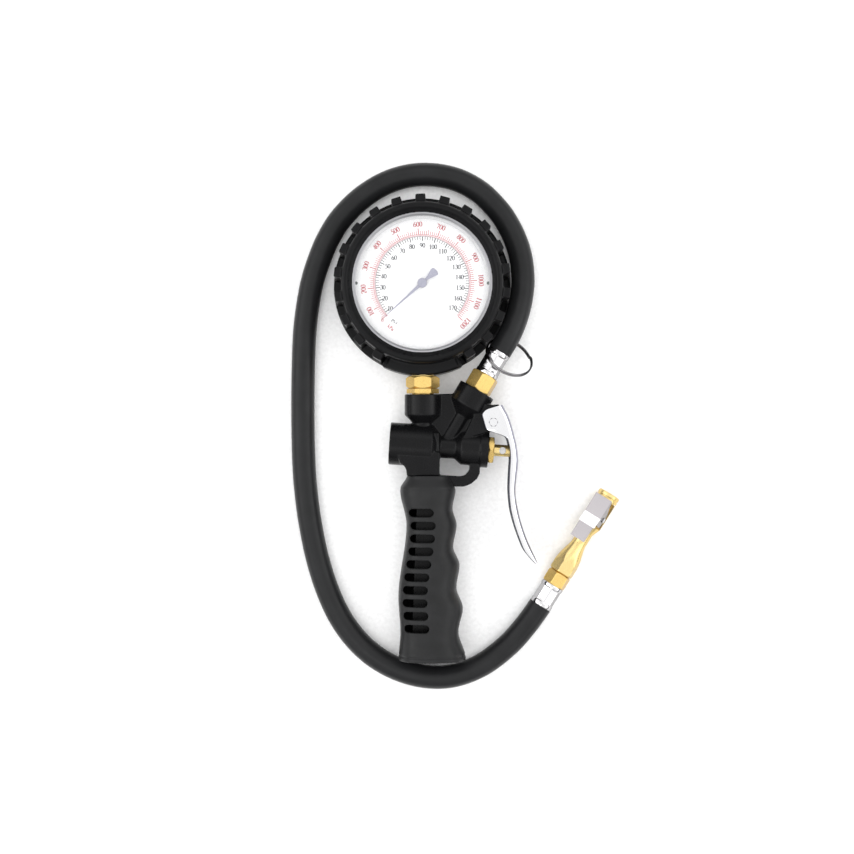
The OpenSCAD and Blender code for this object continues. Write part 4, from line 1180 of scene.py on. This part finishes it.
SLOT_OF = {part["node"]: part["material_slot"] for part in frame["record"]["subparts"]}
stood_for = {n for o in bpy.context.scene.objects for n in o.get("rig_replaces", [])}
for node, obj in frame["nodes"].items():
    if node not in stood_for:
        obj.data.materials.clear()
        obj.data.materials.append(MATERIAL[SLOT_OF[node]])

# ---- Floor and light ----

# The floor is a hair below the object, so that they never share a plane
FLOOR_HALF, FLOOR_Z = 12, -0.0002
# Strength of the sky straight above, and of the band at its sides
SKY_TOP, SKY_SIDE = 0.97, 2.3

corners = ((-1, -1), (1, -1), (1, 1), (-1, 1))
floor_mesh = bpy.data.meshes.new("floor")
floor_mesh.from_pydata([(x * FLOOR_HALF, y * FLOOR_HALF, FLOOR_Z) for x, y in corners], [],
                       [[0, 1, 2, 3]])
floor_mesh.materials.append(plain("floor_white", (0.93, 0.93, 0.93), 0.6))
floor = add_object("floor", floor_mesh)

world = bpy.data.worlds.new("studio")
world.use_nodes = True
tree = world.node_tree
bpy.context.scene.world = world
bpy.context.scene.view_settings.view_transform = "Standard"


def sky_node(kind, *inputs, **values):
    """A node of the sky, its inputs given as numbers or as outputs of other nodes."""
    node = tree.nodes.new(kind)
    for key, value in values.items():
        setattr(node, key, value)
    for i, value in enumerate(inputs):
        if isinstance(value, (int, float)):
            node.inputs[i].default_value = value
        else:
            tree.links.new(value, node.inputs[i])
    return node.outputs[0]


# A tent of light: bright overhead, a brighter band at the sides, dim near the ground. Each
# MapRange says from which heights of the view, and then to which strengths.
way = tree.nodes.new("ShaderNodeTexCoord").outputs["Generated"]
split = tree.nodes.new("ShaderNodeSeparateXYZ")
tree.links.new(way, split.inputs[0])
sideways = sky_node("ShaderNodeMath", split.outputs["X"], split.outputs["X"],
                    operation="MULTIPLY")
top = sky_node("ShaderNodeMapRange", split.outputs["Z"], 0.08, 0.75, 0.16, SKY_TOP)
rise = sky_node("ShaderNodeMapRange", split.outputs["Z"], 0.15, 0.4, 0.0, 1.0)
fall = sky_node("ShaderNodeMapRange", split.outputs["Z"], 0.55, 0.85, SKY_SIDE, 0.0)
band = sky_node("ShaderNodeMath", rise, fall, operation="MULTIPLY")
sides = sky_node("ShaderNodeMath", sideways, band, operation="MULTIPLY")
light = sky_node("ShaderNodeMath", top, sides, operation="ADD")
tree.links.new(light, tree.nodes["Background"].inputs["Strength"])
tree.nodes["Background"].inputs["Color"].default_value = (1, 1, 1, 1)


def softbox(name, at, size, power, aim=(0, 0, 0)):
    data = bpy.data.lights.new(name, "AREA")
    data.shape = "RECTANGLE"
    data.size, data.size_y = size
    data.energy = power
    lamp = add_object(name, data)
    lamp.location = at
    lamp.rotation_euler = (Vector(aim) - Vector(at)).to_track_quat("-Z", "Y").to_euler()
    return lamp


# Shiny surfaces don't mirror the one straight above
softbox("overhead", (0, 0, 1.5), (1.3, 1.3), 9.0).visible_glossy = False
softbox("left", (-0.75, 0.1, 0.75), (0.5, 1.1), 1.3)
softbox("right", (0.75, 0.15, 0.8), (0.5, 1.1), 0.9)
softbox("front", (-0.23, -0.45, 0.93), (0.3, 0.3), 0.6, aim=(0.08, -0.02, 0))
softbox("back", (0.0, 0.95, 0.8), (1.0, 0.5), 0.8)
